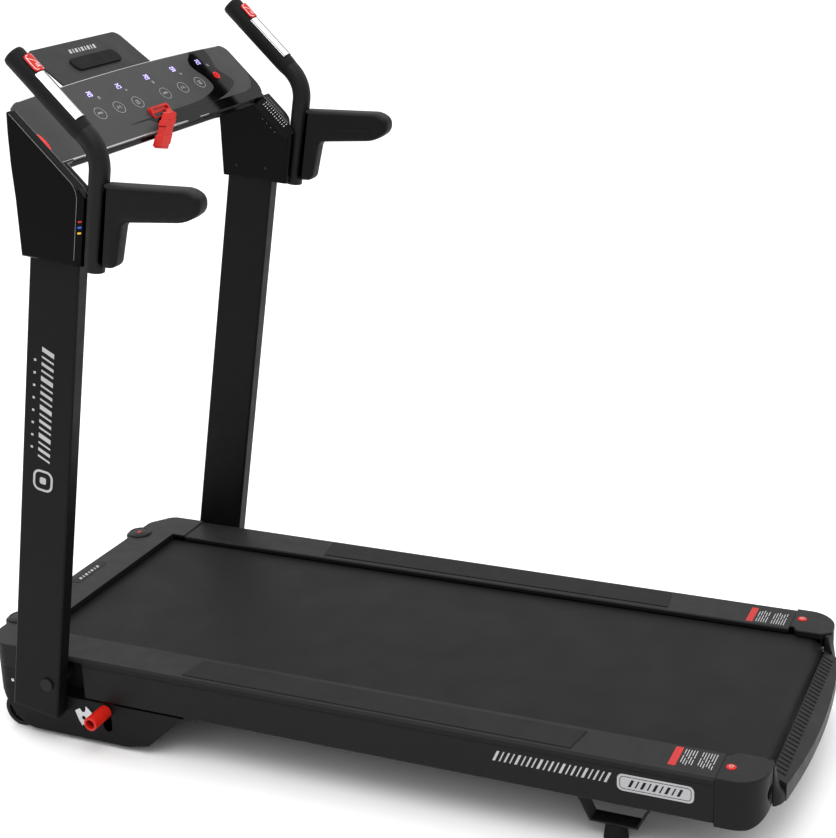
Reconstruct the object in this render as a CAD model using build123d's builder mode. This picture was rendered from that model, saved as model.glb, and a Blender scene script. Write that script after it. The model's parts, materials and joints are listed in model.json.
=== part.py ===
from build123d import *
import os
from math import asin, atan2, cos, degrees, hypot, radians, sin, sqrt

os.makedirs("parts", exist_ok=True)

# Folding motorised treadmill. +Y is the way the user faces, +X the user's right, +Z up,
# and z = 0 is the floor. Everything is in millimetres.

# ---------------------------------------------------------------- driving dimensions
FRONT_Y = 720                  # front of the hood's round bosses
REAR_Y = -720                  # middle of the bowed rear guard
BELT_WIDTH = 450
RAIL_OUTER = 302               # outer face of the side rails
RAIL_TOP = 165
RAIL_BOTTOM = 87
RAIL_REAR = -615               # seam between a side rail and its rear cap
RAIL_FRONT = 600               # seam between a side rail and the motor hood
SKIN = 3                       # wall of the moulded covers

ROLLER_R = 26
ROLLER_Z = 125
FRONT_ROLLER_Y = 652
REAR_ROLLER_Y = -648
BELT_T = 2
AXLE_R = 7
FIT = 0.05                     # radial clearance of every running fit

TUBE_X = 247                   # centre of the longitudinal frame tubes
TUBE_W = 30
TUBE_H = 50
TUBE_Z = 113
TUBE_REAR = -668
TUBE_FRONT = 566

HINGE_Y = 552                  # fold axis of the mast
HINGE_Z = 121.5
HINGE_R = 8
LEAN = 9.67                    # rearward lean of the uprights, degrees
UPRIGHT_IN = 303.4
UPRIGHT_W = 28.6
UPRIGHT_DEPTH = 91.5
UPRIGHT_REAR = -23.7           # rear face, measured across the upright from the fold axis
UPRIGHT_FOOT = -58
UPRIGHT_TOP = 830

SLOPE = 45                     # slope of the console panel
PANEL_Y = 459                  # middle of the panel's upper face
PANEL_Z = 1081
PANEL_T = 8
PANEL_REAR = -60.5             # rear edge, down the slope from the middle
PANEL_LEFT = -326              # the left end stops at the raised rim
PANEL_RIGHT = 344              # the right end lies over the shroud
SHROUD_IN = 298.5
SHROUD_OUT = 345
RIM_IN = 327.5                 # inboard side of the raised rim on each shroud

BAR_X = 335.2                  # plane of each handlebar
BAR_R = 16.5
SLEEVE_R = 17.8
BAR_LOW = (368.5, 876)         # centre line of a handlebar, (y, z)
BAR_CORNER = (336.5, 1062.5)
BAR_END = (476.5, 1202.5)
BAR_BEND = 62

MOTOR_Y = 560
MOTOR_Z = 53
MOTOR_R = 36
MOTOR_PULLEY_R = 11
ROLLER_PULLEY_R = 26
PULLEY_X = 240
PULLEY_W = 18

WHEEL_X = 281
WHEEL_Y = 649
WHEEL_R = 32
WHEEL_W = 20
WHEEL_BOLT_R = 5

PEDAL_Y = 456
PEDAL_Z = 73
PEDAL_TRAVEL = 25

FOOT_X = 256
FOOT_Y = -451
FOOT_PLATE_Z = 30              # underside of the rear foot brackets

FLAP_Y = 516.4                 # hinge line of the tablet flap
FLAP_Z = 1120.8
FLAP_X = -15
FLAP_W = 268
FLAP_L = 93.5
FLAP_TILT = 37
FLAP_T = 3
FLAP_FOOT = 2.8                # lower edge, from the hinge line

# ---------------------------------------------------------------- shared planes and helpers
# Sketches of side outlines use (y, z); their extrusion runs along +X.
SIDE = Plane(origin=(0, 0, 0), x_dir=(0, 1, 0), z_dir=(1, 0, 0))
# Sketches of cross-sections use (x, z); their extrusion runs along -Y.
ACROSS = Plane.XZ


def side(x):
    return SIDE.offset(x)


def across(y):
    return ACROSS.offset(-y)


def level(z):
    return Plane.XY.offset(z)


def mast_plane(x, up):
    """Cross-section of the mast: local x is +X, local y is forward, normal is up the mast."""
    lean = radians(LEAN)
    up_dir = (0, -sin(lean), cos(lean))
    origin = (x, HINGE_Y - sin(lean) * up, HINGE_Z + cos(lean) * up)
    return Plane(origin=origin, x_dir=(1, 0, 0), z_dir=up_dir)


def panel_plane(depth=0.0):
    """Face of the console panel: local y runs forward and up the slope."""
    slope = radians(SLOPE)
    normal = (0, -sin(slope), cos(slope))
    origin = (0, PANEL_Y + sin(slope) * depth, PANEL_Z - cos(slope) * depth)
    return Plane(origin=origin, x_dir=(1, 0, 0), z_dir=normal)


def flap_plane(rise=0.0):
    """Face of the tablet flap: local y runs from the hinge to the free edge."""
    tilt = radians(FLAP_TILT)
    normal = (0, -sin(tilt), cos(tilt))
    origin = (FLAP_X, FLAP_Y - sin(tilt) * rise, FLAP_Z + cos(tilt) * rise)
    return Plane(origin=origin, x_dir=(1, 0, 0), z_dir=normal)


def finish(piece, name):
    piece.part.label = name
    export_step(piece.part, f"parts/{name}.step")


SIDES = (("left", -1), ("right", 1))

# ---------------------------------------------------------------- welded base frame
TUBE_WALL = 2
SLOT_L = 34
BOLT_R = 4
for side_name, s in SIDES:
    with BuildPart() as frame_tube:
        with BuildSketch(across(TUBE_REAR)):
            with Locations((s * TUBE_X, TUBE_Z)):
                Rectangle(TUBE_W, TUBE_H)
                Rectangle(TUBE_W - 2 * TUBE_WALL, TUBE_H - 2 * TUBE_WALL, mode=Mode.SUBTRACT)
        extrude(amount=-(TUBE_FRONT - TUBE_REAR))
        # rear end plate that the tension bolt pulls against
        with BuildSketch(across(TUBE_REAR)):
            with Locations((s * TUBE_X, TUBE_Z)):
                Rectangle(TUBE_W, TUBE_H)
        extrude(amount=-4)
        with BuildSketch(across(TUBE_REAR)):
            with Locations((s * TUBE_X, ROLLER_Z)):
                Circle(BOLT_R + FIT)
        extrude(amount=-4, mode=Mode.SUBTRACT)
        # slot that the rear axle slides in when the belt is tensioned
        with Locations((s * (TUBE_X - TUBE_W / 2), REAR_ROLLER_Y, ROLLER_Z)):
            Box(3 * TUBE_WALL, SLOT_L, 2 * AXLE_R + 0.4, mode=Mode.SUBTRACT)
    finish(frame_tube, f"frame_tube_{side_name}")

CROSS_Y = (500, -20, -540)
CROSS_H = 20
CROSS_Z = 117
with BuildPart() as deck_cross_members:
    for y in CROSS_Y:
        with BuildSketch(side(-(TUBE_X - TUBE_W / 2))):
            with Locations((y, CROSS_Z)):
                Rectangle(40, CROSS_H)
                Rectangle(36, CROSS_H - 4, mode=Mode.SUBTRACT)
        extrude(amount=2 * TUBE_X - TUBE_W)
finish(deck_cross_members, "deck_cross_members")

# Steel side plates: weld on to the tubes, carry the fold hinge, the front axle and the wheels.
PLATE_IN = TUBE_X + TUBE_W / 2
PLATE_T = 6
BOSS_OUT = 301
for side_name, s in SIDES:
    with BuildPart() as hinge_plate:
        with BuildSketch(side(s * PLATE_IN)):
            with BuildLine():
                Polyline((430, 88), (610, 88), (622, 60), (638, 24), (643, 20), (655, 20), (660, 24),
                         (668, 60), (671, 88), (671, 150), (512, 150), (430, 120), close=True)
            make_face()
        extrude(amount=s * PLATE_T)
        with BuildSketch(side(s * (PLATE_IN + PLATE_T))):
            with Locations((HINGE_Y, HINGE_Z)):
                Circle(2 * HINGE_R)
        extrude(amount=s * (BOSS_OUT - PLATE_IN - PLATE_T))
        with BuildSketch(side(s * PLATE_IN)):
            with Locations((HINGE_Y, HINGE_Z)):
                Circle(HINGE_R + FIT)
            with Locations((FRONT_ROLLER_Y, ROLLER_Z)):
                Circle(AXLE_R + FIT)
            with Locations((WHEEL_Y, WHEEL_R)):
                Circle(WHEEL_BOLT_R + FIT)
        extrude(amount=s * 60, mode=Mode.SUBTRACT)
    finish(hinge_plate, f"hinge_plate_{side_name}")

# Cradle for the motor: a folded plate under the belt, hung between the two side plates.
CRADLE_Z = 13.8
with BuildPart() as motor_mount:
    with BuildSketch(across(500)):
        with BuildLine():
            Polyline((-PLATE_IN, 87.8), (-PLATE_IN, CRADLE_Z), (PLATE_IN, CRADLE_Z), (PLATE_IN, 87.8),
                     (PLATE_IN - 3, 87.8), (PLATE_IN - 3, CRADLE_Z + 3), (3 - PLATE_IN, CRADLE_Z + 3),
                     (3 - PLATE_IN, 87.8), close=True)
        make_face()
    extrude(amount=-96)
finish(motor_mount, "motor_mount")

# ---------------------------------------------------------------- motor, drive and rollers
with BuildPart() as motor_case:
    with BuildSketch(side(-60)):
        with Locations((MOTOR_Y, MOTOR_Z)):
            Circle(MOTOR_R)
    extrude(amount=190)
    chamfer(motor_case.faces().filter_by(Axis.X).edges(), 3)
    with BuildSketch(side(-57)):
        with Locations((MOTOR_Y, MOTOR_Z)):
            Circle(MOTOR_R - 4)
    extrude(amount=184, mode=Mode.SUBTRACT)
    with BuildSketch(side(-60)):
        with Locations((MOTOR_Y, MOTOR_Z)):
            Circle(6 + FIT)
    extrude(amount=190, mode=Mode.SUBTRACT)
    # ring of cooling slots at the fan end
    with BuildSketch(side(-60)):
        with Locations((MOTOR_Y, MOTOR_Z)):
            with PolarLocations(20, 8):
                SlotOverall(12, 4)
    extrude(amount=3, mode=Mode.SUBTRACT)
finish(motor_case, "motor_case")

with BuildPart() as motor_rotor:
    with BuildSketch(side(-92)):
        with Locations((MOTOR_Y, MOTOR_Z)):
            Circle(6)
    extrude(amount=PULLEY_X + PULLEY_W / 2 + 92)
    # armature inside the case
    with BuildSketch(side(-30)):
        with Locations((MOTOR_Y, MOTOR_Z)):
            Circle(MOTOR_R - 8)
    extrude(amount=130)
    # flywheel and fan outside it
    with BuildSketch(side(-88)):
        with Locations((MOTOR_Y, MOTOR_Z)):
            Circle(MOTOR_R - 2)
    extrude(amount=18)
    with BuildSketch(side(PULLEY_X - PULLEY_W / 2)):
        with Locations((MOTOR_Y, MOTOR_Z)):
            Circle(MOTOR_PULLEY_R)
    extrude(amount=PULLEY_W)
finish(motor_rotor, "motor_rotor")


def belt_loop(y0, z0, r0, y1, z1, r1):
    """Closed outline of a belt's mean surface around two pulleys, r0 at (y0, z0), r1 at (y1, z1)."""
    dy, dz = y1 - y0, z1 - z0
    gap = hypot(dy, dz)
    along = atan2(dz, dy)
    wrap = asin((r1 - r0) / gap)
    up = along + radians(90) + wrap
    down = along - radians(90) - wrap

    def at(y, z, r, angle):
        return (y + r * cos(angle), z + r * sin(angle))

    a0, a1 = at(y0, z0, r0, up), at(y1, z1, r1, up)
    b0, b1 = at(y0, z0, r0, down), at(y1, z1, r1, down)
    Line(a0, a1)
    ThreePointArc(a1, at(y1, z1, r1, along), b1)
    Line(b1, b0)
    ThreePointArc(b0, at(y0, z0, r0, along + radians(180)), a0)


DRIVE_T = 3
with BuildPart() as drive_belt:
    with BuildSketch(side(PULLEY_X - PULLEY_W / 2 + 2)):
        with BuildLine():
            belt_loop(MOTOR_Y, MOTOR_Z, MOTOR_PULLEY_R + 0.3 + DRIVE_T,
                      FRONT_ROLLER_Y, ROLLER_Z, ROLLER_PULLEY_R + 0.3 + DRIVE_T)
        make_face()
        with BuildLine():
            belt_loop(MOTOR_Y, MOTOR_Z, MOTOR_PULLEY_R + 0.3,
                      FRONT_ROLLER_Y, ROLLER_Z, ROLLER_PULLEY_R + 0.3)
        make_face(mode=Mode.SUBTRACT)
    extrude(amount=PULLEY_W - 4)
finish(drive_belt, "drive_belt")

DRUM_HALF = 228
BEARING_R = 17.5
BEARING_W = 12
for name, y in (("front_roller", FRONT_ROLLER_Y), ("rear_roller", REAR_ROLLER_Y)):
    with BuildPart() as roller:
        with BuildSketch(side(-DRUM_HALF)):
            with Locations((y, ROLLER_Z)):
                Circle(ROLLER_R)
                Circle(AXLE_R + 2, mode=Mode.SUBTRACT)
        extrude(amount=2 * DRUM_HALF)
        # hollow drum between its two bearing housings
        with BuildSketch(side(-DRUM_HALF + 30)):
            with Locations((y, ROLLER_Z)):
                Circle(ROLLER_R - 3)
        extrude(amount=2 * DRUM_HALF - 60, mode=Mode.SUBTRACT)
        if name == "front_roller":
            with BuildSketch(side(DRUM_HALF)):
                with Locations((y, ROLLER_Z)):
                    Circle(ROLLER_PULLEY_R)
                    Circle(AXLE_R + 2, mode=Mode.SUBTRACT)
            extrude(amount=PULLEY_X + PULLEY_W / 2 - DRUM_HALF)
        for s in (-1, 1):
            with BuildSketch(side(s * (DRUM_HALF - BEARING_W - 4))):
                with Locations((y, ROLLER_Z)):
                    Circle(BEARING_R + FIT)
            extrude(amount=s * BEARING_W, mode=Mode.SUBTRACT)
    finish(roller, name)

with BuildPart() as roller_bearings:
    for y in (FRONT_ROLLER_Y, REAR_ROLLER_Y):
        for s in (-1, 1):
            with BuildSketch(side(s * (DRUM_HALF - BEARING_W - 3.5))):
                with Locations((y, ROLLER_Z)):
                    Circle(BEARING_R)
                    Circle(AXLE_R + FIT, mode=Mode.SUBTRACT)
            extrude(amount=s * (BEARING_W - 1))
finish(roller_bearings, "roller_bearings")

with BuildPart() as front_axle:
    with BuildSketch(side(-(PLATE_IN + PLATE_T))):
        with Locations((FRONT_ROLLER_Y, ROLLER_Z)):
            Circle(AXLE_R)
    extrude(amount=2 * (PLATE_IN + PLATE_T))
finish(front_axle, "front_axle")

REAR_AXLE_HALF = 256
with BuildPart() as rear_axle:
    with BuildSketch(side(-REAR_AXLE_HALF)):
        with Locations((REAR_ROLLER_Y, ROLLER_Z)):
            Circle(AXLE_R)
    extrude(amount=2 * REAR_AXLE_HALF)
    with BuildSketch(across(REAR_ROLLER_Y - 20)):
        with Locations((-TUBE_X, ROLLER_Z), (TUBE_X, ROLLER_Z)):
            Circle(BOLT_R + FIT)
    extrude(amount=-40, mode=Mode.SUBTRACT)
finish(rear_axle, "rear_axle")

with BuildPart() as tension_bolts:
    for s in (-1, 1):
        with BuildSketch(across(TUBE_REAR)):
            with Locations((s * TUBE_X, ROLLER_Z)):
                Circle(BOLT_R)
        extrude(amount=-40)
        with BuildSketch(across(TUBE_REAR - 8)):
            with Locations((s * TUBE_X, ROLLER_Z)):
                Circle(6.5)
        extrude(amount=-8)
        with BuildSketch(across(TUBE_REAR - 8)):
            with Locations((s * TUBE_X, ROLLER_Z)):
                RegularPolygon(3.5, 6)
        extrude(amount=-5, mode=Mode.SUBTRACT)
finish(tension_bolts, "tension_bolts")

# ---------------------------------------------------------------- running belt and deck
GAP = 0.3
with BuildPart() as running_belt:
    with BuildSketch(side(-BELT_WIDTH / 2)):
        with BuildLine():
            belt_loop(REAR_ROLLER_Y, ROLLER_Z, ROLLER_R + GAP + BELT_T,
                      FRONT_ROLLER_Y, ROLLER_Z, ROLLER_R + GAP + BELT_T)
        make_face()
        with BuildLine():
            belt_loop(REAR_ROLLER_Y, ROLLER_Z, ROLLER_R + GAP,
                      FRONT_ROLLER_Y, ROLLER_Z, ROLLER_R + GAP)
        make_face(mode=Mode.SUBTRACT)
    extrude(amount=BELT_WIDTH)
finish(running_belt, "running_belt")

DECK_T = 18
DECK_TOP = ROLLER_Z + ROLLER_R
DECK_HALF = 230
with BuildPart() as deck_board:
    with Locations((0, 0, DECK_TOP - DECK_T / 2)):
        Box(2 * DECK_HALF, 1216, DECK_T)
    chamfer(deck_board.edges().filter_by(Axis.X).group_by(Axis.Z)[-1], 3)
finish(deck_board, "deck_board")

CUSHION_H = DECK_TOP - DECK_T - CROSS_Z - CROSS_H / 2
with BuildPart() as deck_cushions:
    with BuildSketch(level(CROSS_Z + CROSS_H / 2)):
        for y in CROSS_Y:
            with Locations((-190, y), (190, y)):
                Circle(16)
    extrude(amount=CUSHION_H)
finish(deck_cushions, "deck_cushions")

# ---------------------------------------------------------------- side rails, pads and rear caps
LIP_IN = BELT_WIDTH / 2 - 3
LIP_Z = 156.5
GROOVE_Z = 151
WINDOW_REAR = 498
for side_name, s in SIDES:
    with BuildPart() as side_rail:
        with BuildSketch(across(RAIL_REAR)):
            with BuildLine():
                Polyline((s * LIP_IN, LIP_Z), (s * LIP_IN, RAIL_TOP - 2),
                         (s * (LIP_IN + 2), RAIL_TOP),
                         (s * (RAIL_OUTER - 4), RAIL_TOP), (s * RAIL_OUTER, RAIL_TOP - 4),
                         (s * RAIL_OUTER, GROOVE_Z + 3), (s * (RAIL_OUTER - 2), GROOVE_Z + 2),
                         (s * (RAIL_OUTER - 2), GROOVE_Z), (s * (RAIL_OUTER - 0.5), GROOVE_Z - 2),
                         (s * (RAIL_OUTER - 0.5), RAIL_BOTTOM + 3), (s * (RAIL_OUTER - 4), RAIL_BOTTOM),
                         (s * (PLATE_IN + 10), RAIL_BOTTOM), (s * (PLATE_IN + 10), RAIL_BOTTOM + 2),
                         (s * (RAIL_OUTER - 5), RAIL_BOTTOM + 2), (s * (RAIL_OUTER - 5), RAIL_TOP - SKIN),
                         (s * (LIP_IN + SKIN), RAIL_TOP - SKIN), (s * (LIP_IN + SKIN), LIP_Z),
                         close=True)
            make_face()
            # web that stands on the frame tube
            with Locations((s * TUBE_X, (TUBE_Z + TUBE_H / 2 + RAIL_TOP - SKIN) / 2)):
                Rectangle(SKIN, RAIL_TOP - SKIN - TUBE_Z - TUBE_H / 2)
        extrude(amount=-(RAIL_FRONT - RAIL_REAR))
        # window through which the hinge boss reaches the upright
        with Locations((s * (RAIL_OUTER - 14), (WINDOW_REAR + RAIL_FRONT + 2) / 2, 121)):
            Box(30, RAIL_FRONT + 2 - WINDOW_REAR, 72, mode=Mode.SUBTRACT)
    finish(side_rail, f"side_rail_{side_name}")

PAD_T = 1.5
with BuildPart() as foot_pads:
    with BuildSketch(level(RAIL_TOP)):
        for s in (-1, 1):
            with BuildLine():
                Polyline((s * 234, -396), (s * 234, 293), (s * 291, 302), (s * 291, -387), close=True)
            make_face()
    extrude(amount=PAD_T)
    chamfer(foot_pads.faces().sort_by(Axis.Z)[-1].edges(), 0.6)
finish(foot_pads, "foot_pads")

CAP_REAR = -689
CAP_CORNER_R = 50
CAP_WALL = 4                   # thickness of its rear wall
CAP_TOP = RAIL_TOP + 2
for side_name, s in SIDES:
    with BuildPart() as rear_cap:
        with BuildSketch(level(RAIL_BOTTOM - 3)):
            with BuildLine():
                cap_outline = FilletPolyline(
                    (s * 230, RAIL_REAR - 0.4), (s * 230, -622), (s * 217, -630), (s * 217, -672),
                    (s * 228, CAP_REAR), (s * RAIL_OUTER, CAP_REAR), (s * RAIL_OUTER, RAIL_REAR - 0.4),
                    radius=[3, 3, 6, 6, CAP_CORNER_R])
                Line(cap_outline @ 1, cap_outline @ 0)
            make_face()
        extrude(amount=CAP_TOP - RAIL_BOTTOM + 3)
        # the lower rear corner is cut away in a round
        with BuildSketch(side(0)):
            with BuildLine():
                Polyline((CAP_REAR - 5, RAIL_BOTTOM + 34), (CAP_REAR - 5, RAIL_BOTTOM - 8),
                         (-652, RAIL_BOTTOM - 8), (-652, RAIL_BOTTOM - 3))
                ThreePointArc((-652, RAIL_BOTTOM - 3), (-684, RAIL_BOTTOM + 8),
                              (CAP_REAR - 5, RAIL_BOTTOM + 34))
            make_face()
        extrude(amount=s * 320, mode=Mode.SUBTRACT)
        # hollow, open at the seam and under the belt
        with BuildSketch(level(RAIL_BOTTOM)):
            with BuildLine():
                Polyline((s * 229, RAIL_REAR + 1), (s * 229, CAP_REAR + CAP_WALL),
                         (s * 258, CAP_REAR + CAP_WALL), (s * 282, -669), (s * (RAIL_OUTER - SKIN), -643),
                         (s * (RAIL_OUTER - SKIN), RAIL_REAR + 1), close=True)
            make_face()
        extrude(amount=CAP_TOP - SKIN - RAIL_BOTTOM, mode=Mode.SUBTRACT)
        # belt and roller clearance on the inboard side
        with Locations((s * 220, -640, 118)):
            Box(24, 76, 76, mode=Mode.SUBTRACT)
        # access hole for the tension bolt
        with BuildSketch(across(CAP_REAR - 2)):
            with Locations((s * (TUBE_X + 6), ROLLER_Z + 6)):
                Circle(12.5)
        extrude(amount=-20, mode=Mode.SUBTRACT)
        chamfer(rear_cap.faces().sort_by(Axis.Z)[-1].outer_wire().edges(), 1.5)
    finish(rear_cap, f"rear_cap_{side_name}")

GUARD_HALF = 214
GUARD_IN = REAR_Y + 39
GUARD_LOW = 96
GUARD_T = 4
BOW_R = (240 ** 2 + 18 ** 2) / 36


def guard_plan(half, inset, y_in):
    """Plan of the rear guard: straight beside the belt, bowed at the rear."""
    y_end = REAR_Y + BOW_R - sqrt((BOW_R - inset) ** 2 - half ** 2)
    arc = ThreePointArc((-half, y_end), (0, REAR_Y + inset), (half, y_end))
    Polyline(arc @ 1, (half, y_in), (-half, y_in), arc @ 0)


def above_guard(drop):
    """Everything above the guard's sloping face, lowered by drop."""
    Polyline((GUARD_IN + 5, 140.5 - drop), (REAR_Y - 5, 116.5 - drop), (REAR_Y - 5, 160), (GUARD_IN + 5, 160),
             close=True)


with BuildPart() as guard_hollow:
    with BuildSketch(level(GUARD_LOW - 2)):
        with BuildLine():
            guard_plan(GUARD_HALF + 1, GUARD_T, GUARD_IN + 1)
        make_face()
    extrude(amount=60)
    with BuildSketch(side(-GUARD_HALF - 5)):
        with BuildLine():
            above_guard(GUARD_T)
        make_face()
    extrude(amount=2 * GUARD_HALF + 10, mode=Mode.SUBTRACT)

RIBS = 32
RIB_PITCH = 12.5
with BuildPart() as rear_guard:
    with BuildSketch(level(GUARD_LOW)):
        with BuildLine():
            guard_plan(GUARD_HALF, 0, GUARD_IN)
        make_face()
    extrude(amount=50)
    with BuildSketch(side(-GUARD_HALF - 5)):
        with BuildLine():
            above_guard(0)
        make_face()
    extrude(amount=2 * GUARD_HALF + 10, mode=Mode.SUBTRACT)
    add(guard_hollow.part, mode=Mode.SUBTRACT)
    for n in range(RIBS):
        with BuildSketch(side((n - (RIBS - 1) / 2) * RIB_PITCH - 2)):
            with BuildLine():
                Polyline((GUARD_IN - 2, 136), (GUARD_IN - 2, 138.6), (GUARD_IN - 19, 130.6),
                         (GUARD_IN - 19, 127), close=True)
            make_face()
        extrude(amount=4)
finish(rear_guard, "rear_guard")

# ---------------------------------------------------------------- motor hood and belly pan
HOOD_LOW = 122
HOOD_TOP = 167
NOSE_Y = 708
BOSS_X = 203
BOSS_R = 27
BOSSES = ((-BOSS_X, FRONT_Y - BOSS_R), (BOSS_X, FRONT_Y - BOSS_R))


def nose_outline(inset, rear=RAIL_FRONT + 0.4):
    """Plan of the front end, with its round corners, shrunk by inset and carried back to rear."""
    w = RAIL_OUTER - inset
    line = FilletPolyline((-w, rear), (-w, 672), (-w + 44, NOSE_Y - inset - 3), (0, NOSE_Y - inset),
                          (w - 44, NOSE_Y - inset - 3), (w, 672), (w, rear),
                          radius=[26, 26, 600, 26, 26])
    Line(line @ 1, line @ 0)


with BuildPart() as motor_hood:
    with BuildSketch(level(HOOD_LOW)):
        with BuildLine():
            nose_outline(0)
        make_face()
        with Locations(*BOSSES):
            Circle(BOSS_R)
    extrude(amount=HOOD_TOP - HOOD_LOW)
    chamfer(motor_hood.faces().sort_by(Axis.Z)[-1].outer_wire().edges(), 2)
    with BuildSketch(level(HOOD_LOW)):
        with BuildLine():
            nose_outline(SKIN)
        make_face()
        with Locations((0, RAIL_FRONT)):
            Rectangle(2 * (RAIL_OUTER - SKIN), 20)
        with Locations(*BOSSES):
            Circle(BOSS_R - SKIN)
    extrude(amount=HOOD_TOP - 5 - HOOD_LOW, mode=Mode.SUBTRACT)
    # opening that the belt runs out of, with a lip down to the belt
    with Locations((0, RAIL_FRONT + 12, 160)):
        Box(2 * LIP_IN, 32, 20, mode=Mode.SUBTRACT)
    with BuildSketch(level(LIP_Z)):
        with Locations((0, RAIL_FRONT + 29.5)):
            Rectangle(2 * LIP_IN + 6, SKIN)
    extrude(amount=HOOD_TOP - 4 - LIP_Z)
    # seats for the round caps
    with BuildSketch(level(HOOD_TOP - 1.5)):
        with Locations(*BOSSES):
            Circle(BOSS_R - 3.5)
    extrude(amount=5, mode=Mode.SUBTRACT)
finish(motor_hood, "motor_hood")

with BuildPart() as hood_caps:
    with BuildSketch(level(HOOD_TOP - 1.5)):
        with Locations(*BOSSES):
            Circle(BOSS_R - 4)
    extrude(amount=5)
    chamfer(hood_caps.faces().sort_by(Axis.Z)[-2:].edges(), 1.5)
finish(hood_caps, "hood_caps")

BELLY_REAR = 302
BELLY_LOW = 9
BELLY_TOP = RAIL_BOTTOM - 1


def belly_side(inset, top):
    """Side outline of the belly pan in (y, z), shrunk by inset and carried up to top in front."""
    return FilletPolyline((BELLY_REAR + inset, BELLY_TOP), (376 + inset * 0.4, BELLY_LOW + 9 + inset),
                          (420, BELLY_LOW + inset), (618, BELLY_LOW + inset), (646, 26 + inset),
                          (684 - inset, 84), (686 - inset, top),
                          radius=[14, 40, 40, 30, 20])


with BuildPart() as belly_hollow:
    with BuildSketch(side(-RAIL_OUTER)):
        with BuildLine():
            inner = belly_side(SKIN, HOOD_LOW + 10)
            Polyline(inner @ 1, (BELLY_REAR + SKIN, HOOD_LOW + 10), inner @ 0)
        make_face()
    extrude(amount=2 * RAIL_OUTER)
    with BuildSketch(level(0)):
        with BuildLine():
            nose_outline(SKIN, BELLY_REAR)
        make_face()
    extrude(amount=140, mode=Mode.INTERSECT)

WELL_IN = PLATE_IN - 3
WELL_OUT = RAIL_OUTER - SKIN - 1
PEDAL_PIN_R = 7
SLOT_W = 18
SLOT_H = PEDAL_TRAVEL + 2 * PEDAL_PIN_R + 12
SLOT_Z = PEDAL_Z - PEDAL_TRAVEL / 2 - 3
INLET_X = 170
INLET_Z = 92
INLET_W = 60
INLET_H = 24
with BuildPart() as belly_pan:
    with BuildSketch(side(-RAIL_OUTER)):
        with BuildLine():
            outer = belly_side(0, HOOD_LOW - 0.5)
            Polyline(outer @ 1, (RAIL_FRONT + 3, HOOD_LOW - 0.5), (RAIL_FRONT + 3, BELLY_TOP), outer @ 0)
        make_face()
    extrude(amount=2 * RAIL_OUTER)
    with BuildSketch(level(0)):
        with BuildLine():
            nose_outline(0, BELLY_REAR)
        make_face()
    extrude(amount=140, mode=Mode.INTERSECT)
    add(belly_hollow.part, mode=Mode.SUBTRACT)
    # flange that closes the underside of the hood's nose
    with BuildSketch(level(HOOD_LOW - 0.5 - SKIN)):
        with BuildLine():
            nose_outline(0, RAIL_FRONT + 3)
        make_face()
        with Locations(*BOSSES):
            Circle(BOSS_R)
        with Locations((0, (RAIL_FRONT + 683) / 2)):
            Rectangle(2 * (RAIL_OUTER - 10), 683 - RAIL_FRONT, mode=Mode.SUBTRACT)
    extrude(amount=SKIN)
    # wheel wells
    for s in (-1, 1):
        with Locations((s * (WELL_IN + WELL_OUT) / 2, WHEEL_Y, WHEEL_R)):
            Box(WELL_OUT - WELL_IN, 2 * WHEEL_R + 12, 2 * WHEEL_R + 12, mode=Mode.SUBTRACT)
    # slot that the release pedal travels in
    with BuildSketch(side(-RAIL_OUTER - 1)):
        with Locations((PEDAL_Y, SLOT_Z)):
            SlotOverall(SLOT_H, SLOT_W, rotation=90)
    extrude(amount=SKIN + 2, mode=Mode.SUBTRACT)
    # window for the mains inlet and switch, and air slots in the floor
    with Locations((INLET_X, 688, INLET_Z)):
        Box(INLET_W + 0.6, 30, INLET_H + 0.6, mode=Mode.SUBTRACT)
    with BuildSketch(level(0)):
        with GridLocations(18, 0, 7, 1):
            with Locations((0, 470)):
                SlotOverall(50, 6, rotation=90)
    extrude(amount=30, mode=Mode.SUBTRACT)
finish(belly_pan, "belly_pan")

# ---------------------------------------------------------------- electrics in the belly
CONTROL_Y = 452
FLOOR_TOP = BELLY_LOW + SKIN
with BuildPart() as motor_controller:
    with Locations((0, CONTROL_Y, FLOOR_TOP + 9)):
        Box(200, 56, 18)
    # cooling fins
    with BuildSketch(level(FLOOR_TOP + 18)):
        with Locations((0, CONTROL_Y)):
            with GridLocations(13, 0, 14, 1):
                Rectangle(3, 50)
    extrude(amount=22)
finish(motor_controller, "motor_controller")

SOCKET_X = INLET_X - 13
ROCKER_X = INLET_X + 18
INLET_Y = 679
with BuildPart() as power_inlet:
    with Locations((INLET_X, INLET_Y, INLET_Z)):
        Box(INLET_W, 14, INLET_H)
    # three-pin socket and, beside it, the housing of the rocker switch
    with Locations((SOCKET_X, INLET_Y + 4, INLET_Z)):
        Box(23, 12, 16, mode=Mode.SUBTRACT)
    with Locations((ROCKER_X, INLET_Y, INLET_Z)):
        Box(14, 20, 21, mode=Mode.SUBTRACT)
    with Locations((SOCKET_X - 6, INLET_Y - 1, INLET_Z - 2), (SOCKET_X + 6, INLET_Y - 1, INLET_Z - 2),
                   (SOCKET_X, INLET_Y - 1, INLET_Z + 3)):
        Box(2, 6, 4)
finish(power_inlet, "power_inlet")

ROCKER_Y = INLET_Y + 1
with BuildPart() as power_rocker:
    with BuildSketch(side(ROCKER_X - 6.5)):
        with BuildLine():
            Polyline((ROCKER_Y - 4, INLET_Z - 6), (ROCKER_Y + 6.5, INLET_Z - 8.5), (ROCKER_Y + 5, INLET_Z),
                     (ROCKER_Y + 9, INLET_Z + 8), (ROCKER_Y - 4, INLET_Z + 6), close=True)
        make_face()
    extrude(amount=13)
finish(power_rocker, "power_rocker")

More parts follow.
